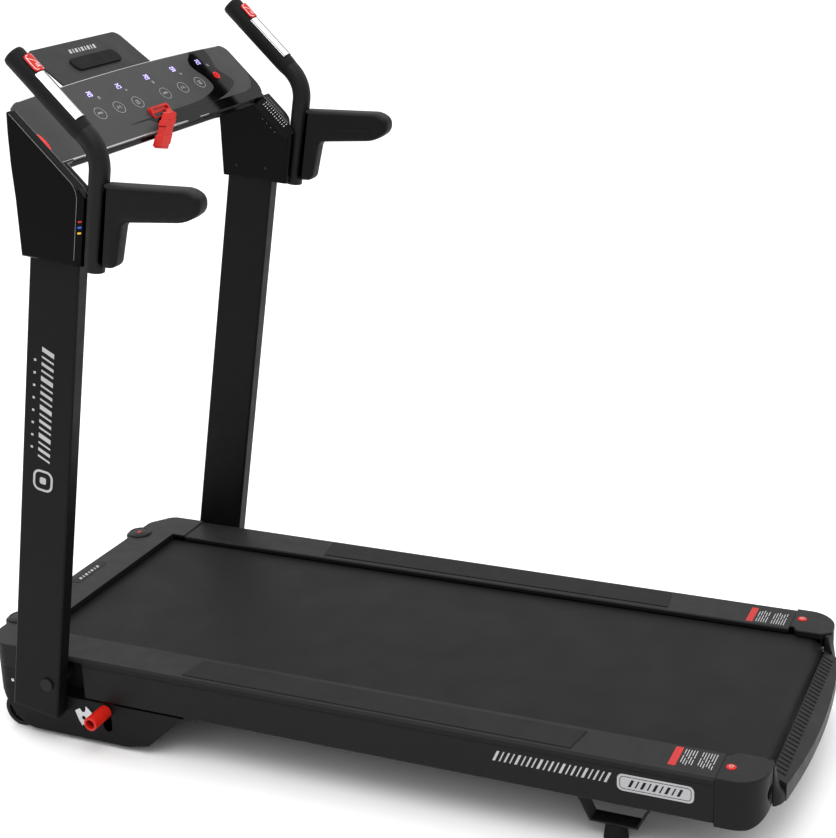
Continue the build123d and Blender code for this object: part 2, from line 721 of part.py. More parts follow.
# ---------------------------------------------------------------- wheels, feet and the fold release
for side_name, s in SIDES:
    with BuildPart() as wheel:
        with BuildSketch(side(s * (WHEEL_X - WHEEL_W / 2 + 0.8))):
            with Locations((WHEEL_Y, WHEEL_R)):
                Circle(WHEEL_R)
        extrude(amount=s * (WHEEL_W - 1.6))
        fillet(wheel.edges().filter_by(GeomType.CIRCLE), 3)
        with BuildSketch(side(s * (WHEEL_X + WHEEL_W / 2 - 0.8))):
            with Locations((WHEEL_Y, WHEEL_R)):
                Circle(WHEEL_R - 9)
                Circle(11, mode=Mode.SUBTRACT)
        extrude(amount=-s * 7, mode=Mode.SUBTRACT)
        with BuildSketch(side(s * (WHEEL_X - WHEEL_W / 2))):
            with Locations((WHEEL_Y, WHEEL_R)):
                Circle(WHEEL_BOLT_R + FIT)
        extrude(amount=s * WHEEL_W, mode=Mode.SUBTRACT)
    finish(wheel, f"wheel_{side_name}")

WHEEL_FACE = WHEEL_X + WHEEL_W / 2
with BuildPart() as wheel_bolts:
    for s in (-1, 1):
        with BuildSketch(side(s * PLATE_IN)):
            with Locations((WHEEL_Y, WHEEL_R)):
                Circle(WHEEL_BOLT_R)
        extrude(amount=s * (WHEEL_FACE + 0.3 - PLATE_IN))
        with BuildSketch(side(s * (WHEEL_FACE + 0.3))):
            with Locations((WHEEL_Y, WHEEL_R)):
                RegularPolygon(9, 6)
        extrude(amount=s * 4)
finish(wheel_bolts, "wheel_bolts")

BRACKET_W = 30
BRACKET_T = 3
TUBE_LOW = TUBE_Z - TUBE_H / 2
with BuildPart() as foot_brackets:
    for s in (-1, 1):
        with BuildSketch(side(s * FOOT_X - BRACKET_W / 2)):
            with BuildLine():
                Polyline((FOOT_Y + 78, TUBE_LOW), (FOOT_Y + 65, TUBE_LOW),
                         (FOOT_Y + 37, FOOT_PLATE_Z + BRACKET_T), (FOOT_Y - 37, FOOT_PLATE_Z + BRACKET_T),
                         (FOOT_Y - 65, TUBE_LOW), (FOOT_Y - 78, TUBE_LOW),
                         (FOOT_Y - 78, TUBE_LOW - BRACKET_T), (FOOT_Y - 67, TUBE_LOW - BRACKET_T),
                         (FOOT_Y - 39, FOOT_PLATE_Z), (FOOT_Y + 39, FOOT_PLATE_Z),
                         (FOOT_Y + 67, TUBE_LOW - BRACKET_T), (FOOT_Y + 78, TUBE_LOW - BRACKET_T), close=True)
            make_face()
        extrude(amount=BRACKET_W)
finish(foot_brackets, "foot_brackets")

with BuildPart() as rear_feet:
    with BuildSketch(level(0)):
        with Locations((-FOOT_X, FOOT_Y), (FOOT_X, FOOT_Y)):
            Circle(20)
    extrude(amount=FOOT_PLATE_Z, taper=7)
finish(rear_feet, "rear_feet")

PIVOT_OUT = UPRIGHT_IN + UPRIGHT_W + 0.4
with BuildPart() as pivot_bolts:
    for s in (-1, 1):
        with BuildSketch(side(s * PLATE_IN)):
            with Locations((HINGE_Y, HINGE_Z)):
                Circle(HINGE_R)
        extrude(amount=s * (PIVOT_OUT - PLATE_IN))
        with BuildSketch(side(s * PIVOT_OUT)):
            with Locations((HINGE_Y, HINGE_Z)):
                Circle(12)
        extrude(amount=s * 3.6)
    chamfer(pivot_bolts.faces().sort_by(Axis.X)[0].edges(), 1)
    chamfer(pivot_bolts.faces().sort_by(Axis.X)[-1].edges(), 1)
finish(pivot_bolts, "pivot_bolts")

# Catch of the fold lock: a notched plate on the outside of the belly, and its foot pedal.
with BuildPart() as catch_plate:
    with BuildSketch(side(-RAIL_OUTER)):
        with BuildLine():
            Polyline((520, 63), (510, 69), (505, 62), (499, 64), (497, 75), (486, 65), (486, 57), (496, 44),
                     (508, 35), (514, 46), close=True)
        make_face()
        with Locations((503, 51)):
            Circle(4, mode=Mode.SUBTRACT)
    extrude(amount=-2.2)
finish(catch_plate, "catch_plate")

PEDAL_TIP = BAR_X + SLEEVE_R
PEDAL_IN = 305.5
PEDAL_R = 12.5
with BuildPart() as release_pedal:
    # pin that runs through the slot in the belly
    with BuildSketch(side(-286)):
        with Locations((PEDAL_Y, PEDAL_Z)):
            Circle(PEDAL_PIN_R)
    extrude(amount=286 - PEDAL_IN)
    # hollow tread outside
    with BuildSketch(side(-PEDAL_IN)):
        with Locations((PEDAL_Y, PEDAL_Z)):
            Circle(PEDAL_R)
    extrude(amount=PEDAL_IN - PEDAL_TIP)
    chamfer(release_pedal.faces().sort_by(Axis.X)[0].edges(), 1)
    with BuildSketch(side(-PEDAL_TIP)):
        with Locations((PEDAL_Y, PEDAL_Z)):
            Circle(PEDAL_R - 4)
    extrude(amount=PEDAL_TIP - PEDAL_IN - 6, mode=Mode.SUBTRACT)
    # latch arm inside the belly
    with BuildSketch(side(-292)):
        with BuildLine():
            Polyline((PEDAL_Y - 9, PEDAL_Z - 12), (PEDAL_Y + 14, PEDAL_Z - 14), (PEDAL_Y + 26, PEDAL_Z - 6),
                     (PEDAL_Y + 26, PEDAL_Z + 4), (PEDAL_Y + 12, PEDAL_Z + 12), (PEDAL_Y - 9, PEDAL_Z + 12),
                     close=True)
        make_face()
    extrude(amount=6)
finish(release_pedal, "release_pedal")

# ---------------------------------------------------------------- folding mast: uprights
WALL = 2.5
MID_V = UPRIGHT_REAR + UPRIGHT_DEPTH / 2
UPRIGHT_MID = UPRIGHT_IN + UPRIGHT_W / 2
SCREWS = ((405, 909), (466, 912))     # (y, z) of the screws through each shroud into the upright
for side_name, s in SIDES:
    with BuildPart() as upright:
        with BuildSketch(mast_plane(s * UPRIGHT_MID, UPRIGHT_FOOT)):
            with Locations((0, MID_V)):
                RectangleRounded(UPRIGHT_W, UPRIGHT_DEPTH, 4)
                RectangleRounded(UPRIGHT_W - 2 * WALL, UPRIGHT_DEPTH - 2 * WALL, 1.5, mode=Mode.SUBTRACT)
        extrude(amount=UPRIGHT_TOP - UPRIGHT_FOOT)
        # sleeve for the fold hinge
        with BuildSketch(side(s * (UPRIGHT_IN + 1))):
            with Locations((HINGE_Y, HINGE_Z)):
                Circle(HINGE_R + 7)
        extrude(amount=s * (UPRIGHT_W - 2))
        with BuildSketch(side(s * (UPRIGHT_IN - 1))):
            with Locations((HINGE_Y, HINGE_Z)):
                Circle(HINGE_R + FIT)
        extrude(amount=s * (UPRIGHT_W + 2), mode=Mode.SUBTRACT)
        with BuildSketch(side(s * (UPRIGHT_IN - 1))):
            with Locations(*SCREWS):
                Circle(2.05)
        extrude(amount=s * 6, mode=Mode.SUBTRACT)
    finish(upright, f"upright_{side_name}")

with BuildPart() as upright_caps:
    for s in (-1, 1):
        with BuildSketch(mast_plane(s * UPRIGHT_MID, UPRIGHT_FOOT - 4)):
            with Locations((0, MID_V)):
                RectangleRounded(UPRIGHT_W, UPRIGHT_DEPTH, 4)
        extrude(amount=4)
        with BuildSketch(mast_plane(s * UPRIGHT_MID, UPRIGHT_FOOT)):
            with Locations((0, MID_V)):
                RectangleRounded(UPRIGHT_W - 2 * WALL - 0.4, UPRIGHT_DEPTH - 2 * WALL - 0.4, 1.4)
        extrude(amount=14)
finish(upright_caps, "upright_caps")

# ---------------------------------------------------------------- shrouds at the top of the mast
SEAT = PANEL_Z - PANEL_Y - PANEL_T * sqrt(2)        # z - y on the slope that the panel rests on
RIM = PANEL_Z - PANEL_Y + 5                         # z - y on top of the raised rims
SHROUD_LOW = 881                                    # rear corner at the bottom
SHROUD_NOSE = ((497.5, 1085), (498, 1035), (496, 985), (496, 892.5))
SHROUD_PART = (3, 17.5)        # rear face inboard of the tube and in front of it, from the tube's centre line


def bar_y(z):
    """Centre line of a handlebar's upright part at height z."""
    lean = (BAR_LOW[0] - BAR_CORNER[0]) / (BAR_CORNER[1] - BAR_LOW[1])
    return BAR_LOW[0] - (z - BAR_LOW[1]) * lean


def shroud_side(top, rear, corner):
    """Side outline of a shroud with its sloping top on z - y = top and its back rear ahead of the tube."""
    lean = bar_y(0) - bar_y(1)
    rear_y = (bar_y(top) + rear) / (1 + lean)
    nose_top = (495.5, 495.5 + top)
    outline = FilletPolyline((bar_y(SHROUD_LOW) + rear, SHROUD_LOW), (rear_y, rear_y + top), nose_top,
                             *SHROUD_NOSE, radius=[corner, 4, 60, 60, 60])
    Line(outline @ 1, outline @ 0)


LUG_R = 6
LUG_X = 326
LUG_Z = (895, 920)
BEAM_Y = 478
BEAM_Z = 1046
BEAM = 30
BAND_IN = 604.5                # z - y along the inner edge of the sloping band
for side_name, s in SIDES:
    with BuildPart() as shroud:
        with BuildSketch(side(s * RIM_IN)):
            with BuildLine():
                shroud_side(RIM, SHROUD_PART[1], 45)
            make_face()
        extrude(amount=s * (SHROUD_OUT - RIM_IN))
        chamfer(shroud.faces().sort_by(Axis.X)[-1 if s > 0 else 0].edges(), 2.5)
        with BuildSketch(side(s * SHROUD_IN)):
            with BuildLine():
                shroud_side(SEAT, -SHROUD_PART[0], 14)
            make_face()
        extrude(amount=s * (RIM_IN - SHROUD_IN))
        # band behind the panel, which slopes down to the inboard face
        with BuildSketch(side(s * SHROUD_IN)):
            with BuildLine():
                shroud_side(RIM, -SHROUD_PART[0], 14)
            make_face()
            with BuildLine():
                Polyline((410, 1043.7), (460, 993.7), (460, 860), (330, 860), (330, 1043.7), close=True)
            make_face(mode=Mode.INTERSECT)
        extrude(amount=s * (RIM_IN - SHROUD_IN))
        with BuildSketch(Plane(origin=(0, 414, 1036), x_dir=(1, 0, 0), z_dir=(0, -1, -1))):
            with BuildLine():
                low = (BAND_IN - 622) / sqrt(2)
                high = (RIM - 622) / sqrt(2)
                Polyline((s * (SHROUD_IN - 0.6), low - 0.5), (s * 318, high + 0.05),
                         (s * (SHROUD_IN - 0.6), high + 0.05), close=True)
            make_face()
        extrude(amount=90, mode=Mode.SUBTRACT)
        # plan outline, which wraps round the inboard side of the tube
        with BuildSketch(Plane(origin=(0, bar_y(860), 860), x_dir=(1, 0, 0),
                               z_dir=(0, bar_y(1) - bar_y(0), 1))):
            with BuildLine():
                plan = FilletPolyline((s * SHROUD_IN, 190), (s * SHROUD_IN, -SHROUD_PART[0]),
                                      (s * 315.5, -SHROUD_PART[0]), (s * 321, SHROUD_PART[1]),
                                      (s * SHROUD_OUT, SHROUD_PART[1]), (s * SHROUD_OUT, 190),
                                      radius=[6, 4, 5, 16])
                Line(plan @ 1, plan @ 0)
            make_face()
        extrude(amount=290, mode=Mode.INTERSECT)
        # hollow, open below for the upright
        with BuildSketch(side(s * (SHROUD_IN + SKIN))):
            with BuildLine():
                Polyline((392, 870), (388, 955), (388, 988.5), (490, 1090.5), (494.3, 1080), (494.3, 1035),
                         (493, 985), (493, 870), close=True)
            make_face()
        extrude(amount=s * (SHROUD_OUT - SHROUD_IN - 2 * SKIN), mode=Mode.SUBTRACT)
        if s > 0:
            # seat that the right end of the panel lies on
            with BuildSketch(panel_plane(PANEL_T)):
                with Locations((PANEL_RIGHT - 20, PANEL_REAR - 0.5 + 80)):
                    Rectangle(60, 160)
            extrude(amount=30, mode=Mode.SUBTRACT)
        # window for the crossbar, holes for the handlebar lugs and the screws
        with Locations((s * (SHROUD_IN + SKIN / 2), BEAM_Y, BEAM_Z)):
            Box(4 * SKIN, BEAM + 1, BEAM + 1, mode=Mode.SUBTRACT)
        with BuildSketch(across(364)):
            for z in LUG_Z:
                with Locations((s * LUG_X, z)):
                    Circle(LUG_R + 0.2)
        extrude(amount=-36, mode=Mode.SUBTRACT)
        with BuildSketch(side(s * SHROUD_IN)):
            with Locations(*SCREWS):
                Circle(2.05)
        extrude(amount=s * SKIN, mode=Mode.SUBTRACT)
    finish(shroud, f"shroud_{side_name}")

with BuildPart() as mast_screws:
    for s in (-1, 1):
        with BuildSketch(side(s * SHROUD_IN)):
            with Locations(*SCREWS):
                Circle(2)
        extrude(amount=s * 9)
        with BuildSketch(side(s * (SHROUD_IN - 2))):
            with Locations(*SCREWS):
                Circle(3)
        extrude(amount=s * 2)
finish(mast_screws, "mast_screws")

# Crossbar behind the console, with a stem down into the top of each upright.
BEAM_HALF = 328
with BuildPart() as console_crossbar:
    with BuildSketch(side(-BEAM_HALF)):
        with Locations((BEAM_Y, BEAM_Z)):
            Rectangle(BEAM, BEAM)
            Rectangle(BEAM - 4, BEAM - 4, mode=Mode.SUBTRACT)
    extrude(amount=2 * BEAM_HALF)
    for s in (-1, 1):
        with BuildSketch(side(s * 308)):
            with BuildLine():
                Polyline((438, 915), (470, 920), (493, 1031.2), (463, 1031.2), close=True)
            make_face()
        extrude(amount=s * 19)
finish(console_crossbar, "console_crossbar")

# ---------------------------------------------------------------- console
SHELL_HALF = 298
LUGS_X = (-120, 90)
PIN_R = 2
LUG_EYE = 4
with BuildPart() as console_shell:
    with BuildSketch(side(-SHELL_HALF)):
        with BuildLine():
            Polyline((421.7, 421.7 + SEAT), (501.4, 501.4 + SEAT), (501.4, 1016), (488, 1008), (430, 1022),
                     (419, 1027), close=True)
        make_face()
    extrude(amount=2 * SHELL_HALF)
    with BuildSketch(side(-SHELL_HALF + SKIN)):
        with BuildLine():
            Polyline((425.5, 425.5 + SEAT), (498.4, 498.4 + SEAT), (498.4, 1017.8), (487.5, 1011.3),
                     (431, 1024.9), (423.5, 1028.5), close=True)
        make_face()
    extrude(amount=2 * (SHELL_HALF - SKIN), mode=Mode.SUBTRACT)
    # lugs for the tablet flap
    for x in LUGS_X:
        with BuildSketch(side(x - 5)):
            with BuildLine():
                Polyline((501, 1094.7), (501, 1103.6), (FLAP_Y - 2, FLAP_Z + 1.5),
                         (FLAP_Y + 2, FLAP_Z - 1.5), close=True)
            make_face()
            with Locations((FLAP_Y, FLAP_Z)):
                Circle(LUG_EYE)
        extrude(amount=10)
        with BuildSketch(side(x - 5)):
            with Locations((FLAP_Y, FLAP_Z)):
                Circle(PIN_R)
        extrude(amount=10, mode=Mode.SUBTRACT)
    for s in (-1, 1):
        with Locations((s * (SHELL_HALF - SKIN / 2), BEAM_Y, BEAM_Z)):
            Box(4 * SKIN, BEAM + 1, BEAM + 1, mode=Mode.SUBTRACT)
finish(console_shell, "console_shell")

BUTTON_X = 238
BUTTON_V = 6.6                 # up the slope from the middle of the panel
BUTTON_R = 9
BOARD_DEPTH = 12
with BuildPart() as console_panel:
    with BuildSketch(panel_plane(PANEL_T)):
        with BuildLine():
            bow = ThreePointArc((PANEL_LEFT, 61), (20, 71.5), (PANEL_RIGHT, 65))
            Polyline(bow @ 1, (PANEL_RIGHT, PANEL_REAR), (PANEL_LEFT, PANEL_REAR), bow @ 0)
        make_face()
        for corner, radius in (((PANEL_LEFT, 61), 20), ((PANEL_RIGHT, 65), 20),
                               ((PANEL_LEFT, PANEL_REAR), 3), ((PANEL_RIGHT, PANEL_REAR), 34)):
            fillet(vertices().sort_by_distance(corner)[0], radius)
    extrude(amount=PANEL_T)
    with BuildSketch(panel_plane(PANEL_T + 1)):
        with Locations((BUTTON_X, BUTTON_V)):
            Circle(BUTTON_R + 0.3)
    extrude(amount=PANEL_T + 2, mode=Mode.SUBTRACT)
    # posts that the display board is screwed to
    with BuildSketch(panel_plane(BOARD_DEPTH)):
        with GridLocations(420, 56, 2, 2):
            Circle(3)
    extrude(amount=BOARD_DEPTH - PANEL_T)
finish(console_panel, "console_panel")

with BuildPart() as display_board:
    with BuildSketch(panel_plane(BOARD_DEPTH + 1.6)):
        with Locations((0, -2)):
            Rectangle(520, 74)
    extrude(amount=1.6)
finish(display_board, "display_board")

with BuildPart() as start_button:
    with BuildSketch(panel_plane(PANEL_T + 2)):
        with Locations((BUTTON_X, BUTTON_V)):
            Circle(BUTTON_R + 1.5)
    extrude(amount=1.8)
    with BuildSketch(panel_plane(PANEL_T + 2)):
        with Locations((BUTTON_X, BUTTON_V)):
            Circle(BUTTON_R)
    extrude(amount=PANEL_T + 3.5)
finish(start_button, "start_button")

KEY_MIDDLE = (2, 436, 1063.5)
KEY_LEAN = 21                  # forward lean of the key's open end, degrees
BAND_LAP = 1.3                 # how far the clip's bands stand out from it


def clip_left(z):
    """Left side of the bands round the key's clip, at height z."""
    return -33 - (1068 - z) * 40 / 53 - BAND_LAP


def clip_right(z):
    return -11 - (1066 - z) * 38 / 56 + BAND_LAP


with BuildPart() as safety_key:
    # cup that stands on the panel with its open end towards the user
    lean = radians(KEY_LEAN)
    mouth = Plane(origin=KEY_MIDDLE, x_dir=(1, 0, 0), z_dir=(0, -cos(lean), sin(lean)))
    with BuildSketch(mouth):
        RectangleRounded(57, 22, 8)
    extrude(amount=-16)
    with BuildSketch(panel_plane(-0.2)):
        Rectangle(120, 120)
    extrude(amount=40, mode=Mode.INTERSECT)
    with BuildSketch(mouth):
        RectangleRounded(49, 14, 5)
    extrude(amount=-3.5, mode=Mode.SUBTRACT)
    # strap to a clip that hangs behind the console
    with BuildSketch(level(1059)):
        with BuildLine():
            Polyline((15, 436.8), (29.8, 436.8), (-10, 405), (-28, 405), close=True)
        make_face()
    extrude(amount=6)
    with BuildSketch(across(411)):
        with BuildLine():
            FilletPolyline((-33, 1068), (-11, 1066), (-49, 1010), (-73, 1015), radius=4, close=True)
        make_face()
    extrude(amount=14)
    # folded band round the clip, and its wider lower end
    for upper, lower in ((1055, 1047), (1033, 1017)):
        with BuildSketch(across(412)):
            with BuildLine():
                Polyline((clip_left(upper), upper + 1), (clip_right(upper), upper), (clip_right(lower), lower),
                         (clip_left(lower), lower + 1), close=True)
            make_face()
        extrude(amount=16)
finish(safety_key, "safety_key")

with BuildPart() as tablet_flap:
    with BuildSketch(flap_plane(-FLAP_T / 2)):
        with Locations((0, (FLAP_L + FLAP_FOOT) / 2)):
            Rectangle(FLAP_W, FLAP_L - FLAP_FOOT)
        fillet(vertices().group_by(Axis.Y)[-1], 14)
        with Locations(*((x - FLAP_X, FLAP_FOOT) for x in LUGS_X)):
            Rectangle(12, 4, mode=Mode.SUBTRACT)
    extrude(amount=FLAP_T)
    # pad that a tablet leans on
    with BuildSketch(flap_plane(FLAP_T / 2)):
        with Locations((2, 41)):
            RectangleRounded(134, 27, 11)
    extrude(amount=3)
    for x in (LUGS_X[0] + 18, LUGS_X[1] - 18):
        with BuildSketch(side(x - 9)):
            with Locations((FLAP_Y, FLAP_Z)):
                Circle(LUG_EYE)
        extrude(amount=18)
        with BuildSketch(side(x - 9)):
            with Locations((FLAP_Y, FLAP_Z)):
                Circle(PIN_R + FIT)
        extrude(amount=18, mode=Mode.SUBTRACT)
finish(tablet_flap, "tablet_flap")

with BuildPart() as flap_pin:
    with BuildSketch(side(LUGS_X[0] - 6)):
        with Locations((FLAP_Y, FLAP_Z)):
            Circle(PIN_R)
    extrude(amount=LUGS_X[1] - LUGS_X[0] + 12)
finish(flap_pin, "flap_pin")

# ---------------------------------------------------------------- handlebars, grips and armrests
BAR_SLOPE = 45
GRIP_L = 160


def grip_plane(x, back):
    """Section of a grip, back from its end: local x is +X, local -y faces up and back at the user."""
    slope = radians(BAR_SLOPE)
    up_dir = (0, cos(slope), sin(slope))
    origin = (x, BAR_END[0] - cos(slope) * back, BAR_END[1] - sin(slope) * back)
    return Plane(origin=origin, x_dir=(1, 0, 0), z_dir=up_dir)


def key_plane(x, back, rise):
    """Plane over a grip, rise from its centre line: local y runs up the grip, normal faces the user."""
    slope = radians(BAR_SLOPE)
    normal = (0, -sin(slope), cos(slope))
    origin = (x, BAR_END[0] - cos(slope) * back - sin(slope) * rise,
              BAR_END[1] - sin(slope) * back + cos(slope) * rise)
    return Plane(origin=origin, x_dir=(1, 0, 0), z_dir=normal)


def bar_path():
    FilletPolyline(BAR_LOW, BAR_CORNER, BAR_END, radius=BAR_BEND)


def upright_rear(z):
    """Rear face of the uprights at height z."""
    lean = radians(LEAN)
    return HINGE_Y + (UPRIGHT_REAR - (z - HINGE_Z) * sin(lean)) / cos(lean)


for side_name, s in SIDES:
    with BuildPart() as handlebar:
        with BuildLine(side(s * BAR_X)):
            bar_path()
        with BuildSketch(grip_plane(s * BAR_X, 0)):
            Circle(BAR_R)
            Circle(BAR_R - WALL, mode=Mode.SUBTRACT)
        sweep()
        # cap in the lower end, and lugs to the rear face of the upright
        with BuildSketch(level(BAR_LOW[1] + 1)):
            with Locations((s * BAR_X, BAR_LOW[0])):
                Circle(BAR_R - 1)
        extrude(amount=3)
        for z in LUG_Z:
            with BuildSketch(across(bar_y(z) + BAR_R - 1.5)):
                with Locations((s * LUG_X, z)):
                    Circle(LUG_R)
            extrude(amount=-(upright_rear(z + LUG_R) - 0.1 - bar_y(z) - BAR_R + 1.5))
    finish(handlebar, f"handlebar_{side_name}")

with BuildPart() as grip_sleeves:
    for s in (-1, 1):
        with BuildSketch(grip_plane(s * BAR_X, GRIP_L)):
            Circle(SLEEVE_R)
            Circle(BAR_R + 0.05, mode=Mode.SUBTRACT)
        extrude(amount=GRIP_L)
finish(grip_sleeves, "grip_sleeves")

PULSE_FROM = 51
PULSE_TO = 142
with BuildPart() as pulse_plates:
    for s in (-1, 1):
        with BuildSketch(grip_plane(s * BAR_X, PULSE_TO)):
            Circle(SLEEVE_R + 1.2)
            Circle(SLEEVE_R + 0.05, mode=Mode.SUBTRACT)
            with Locations((0, -SLEEVE_R)):
                Rectangle(26, 2 * SLEEVE_R, mode=Mode.INTERSECT)
        extrude(amount=PULSE_TO - PULSE_FROM)
finish(pulse_plates, "pulse_plates")

KEY_FROM = 18
KEY_TO = 50
for side_name, s in SIDES:
    with BuildPart() as quick_key:
        with BuildSketch(key_plane(s * BAR_X, (KEY_FROM + KEY_TO) / 2, BAR_R)):
            RectangleRounded(24, KEY_TO - KEY_FROM, 6)
        extrude(amount=SLEEVE_R + 6 - BAR_R)
        with BuildSketch(grip_plane(s * BAR_X, KEY_TO + 5)):
            Circle(SLEEVE_R + 3.2)
        extrude(amount=KEY_TO - KEY_FROM + 10, mode=Mode.INTERSECT)
        with BuildSketch(grip_plane(s * BAR_X, KEY_TO + 5)):
            Circle(SLEEVE_R + 1.2)
        extrude(amount=KEY_TO - KEY_FROM + 10, mode=Mode.SUBTRACT)
    finish(quick_key, f"quick_key_{side_name}")

REST_HALF = 17
REST_LAP = 8                   # how far behind the tube's centre line the armrest's lips stop
for side_name, s in SIDES:
    with BuildPart() as armrest:
        with BuildSketch(side(s * BAR_X - REST_HALF)):
            with BuildLine():
                rest = FilletPolyline((bar_y(1015.5) - REST_LAP, 1015.5), (180, 1014.5), (164, 1000),
                                      (167, 981),
                                      (196, 963), (303, 957), (322, 884), (bar_y(884) - REST_LAP, 884),
                                      radius=[14, 10, 16, 20, 14, 8])
                Line(rest @ 1, rest @ 0)
            make_face()
        extrude(amount=2 * REST_HALF)
        chamfer(armrest.faces().filter_by(Axis.X).edges(), 3)
        # channel for the tube
        with BuildSketch(Plane(origin=(s * BAR_X, bar_y(870), 870), x_dir=(1, 0, 0),
                               z_dir=(0, bar_y(1) - bar_y(0), 1))):
            Circle(BAR_R + 0.1)
        extrude(amount=160, mode=Mode.SUBTRACT)
    finish(armrest, f"armrest_{side_name}")
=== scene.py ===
"""Looks of the folding treadmill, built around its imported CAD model. Lengths are in metres."""
import json
from math import cos, pi, radians, sin, tan

import bmesh
import bpy
from mathutils import Matrix, Vector


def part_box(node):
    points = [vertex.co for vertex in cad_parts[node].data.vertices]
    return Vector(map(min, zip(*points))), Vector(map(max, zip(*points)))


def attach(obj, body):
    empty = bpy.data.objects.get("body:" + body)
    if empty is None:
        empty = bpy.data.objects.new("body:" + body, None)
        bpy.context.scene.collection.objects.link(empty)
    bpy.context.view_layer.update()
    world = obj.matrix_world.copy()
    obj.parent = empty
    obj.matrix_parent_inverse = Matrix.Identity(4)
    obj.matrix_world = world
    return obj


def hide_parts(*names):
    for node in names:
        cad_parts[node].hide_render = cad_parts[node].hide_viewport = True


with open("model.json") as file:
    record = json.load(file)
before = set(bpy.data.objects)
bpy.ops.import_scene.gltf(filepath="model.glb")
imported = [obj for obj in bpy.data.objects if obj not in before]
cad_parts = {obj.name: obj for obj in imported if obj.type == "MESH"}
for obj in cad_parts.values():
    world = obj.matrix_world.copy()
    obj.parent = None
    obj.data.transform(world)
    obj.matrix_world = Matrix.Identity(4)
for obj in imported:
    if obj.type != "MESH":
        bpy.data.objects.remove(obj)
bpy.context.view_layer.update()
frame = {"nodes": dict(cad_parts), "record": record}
NODES = frame["nodes"]
MM = 0.001
LEFT_RIGHT = (("left", -1), ("right", 1))

# ---------------------------------------------------------------- places on the object
class Place:
    """A flat place in the shared frame: across and up lie in it, out points away from the object."""

    def __init__(self, origin, across, up):
        self.origin = Vector(origin)
        self.across = Vector(across).normalized()
        self.up = Vector(up).normalized()
        self.out = self.across.cross(self.up)

    def at(self, u, v, w=0.0):
        """Point u across, v up and w out, in millimetres."""
        return self.origin + MM * (u * self.across + v * self.up + w * self.out)

    def moved(self, u, v, w=0.0):
        return Place(self.at(u, v, w), self.across, self.up)


SLOPE = radians(45)            # slope of the console panel and of the grips
PANEL_REAR = -60.5             # the panel's rear edge, down the slope from the middle
PANEL_THICK = 8
panel_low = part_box("console_panel")[0]
rear_edge = Vector((0, panel_low.y, panel_low.z + PANEL_THICK * MM * sin(SLOPE)))
PANEL = Place(rear_edge, (1, 0, 0), (0, cos(SLOPE), sin(SLOPE))).moved(0, -PANEL_REAR)

# ---------------------------------------------------------------- materials
def node(tree, kind, **values):
    """A shader node with its properties and input values set."""
    made = tree.nodes.new(kind)
    for key, value in values.items():
        if key.startswith("in_"):
            name = key[3:].replace("_", " ")
            made.inputs[name].default_value = value
        else:
            setattr(made, key, value)
    return made


def noise(tree, scale, detail=3.0, stretch=None):
    """Noise in object space; stretch scales it along each axis."""
    place = node(tree, "ShaderNodeTexCoord").outputs["Object"]
    if stretch:
        mapping = node(tree, "ShaderNodeMapping")
        mapping.inputs["Scale"].default_value = stretch
        tree.links.new(place, mapping.inputs["Vector"])
        place = mapping.outputs["Vector"]
    made = node(tree, "ShaderNodeTexNoise", in_Scale=scale, in_Detail=detail)
    tree.links.new(place, made.inputs["Vector"])
    return made.outputs["Fac"]


def ramp(tree, source, low, high, start=0.3, stop=0.7):
    """Source mapped from start..stop to low..high."""
    made = node(tree, "ShaderNodeMapRange", in_From_Min=start, in_From_Max=stop,
                in_To_Min=low, in_To_Max=high)
    tree.links.new(source, made.inputs["Value"])
    return made.outputs["Result"]


def shade(color, factor):
    """Colour made lighter or darker by a factor, as RGBA."""
    return tuple(min(1.0, c * factor) for c in color) + (1.0,)


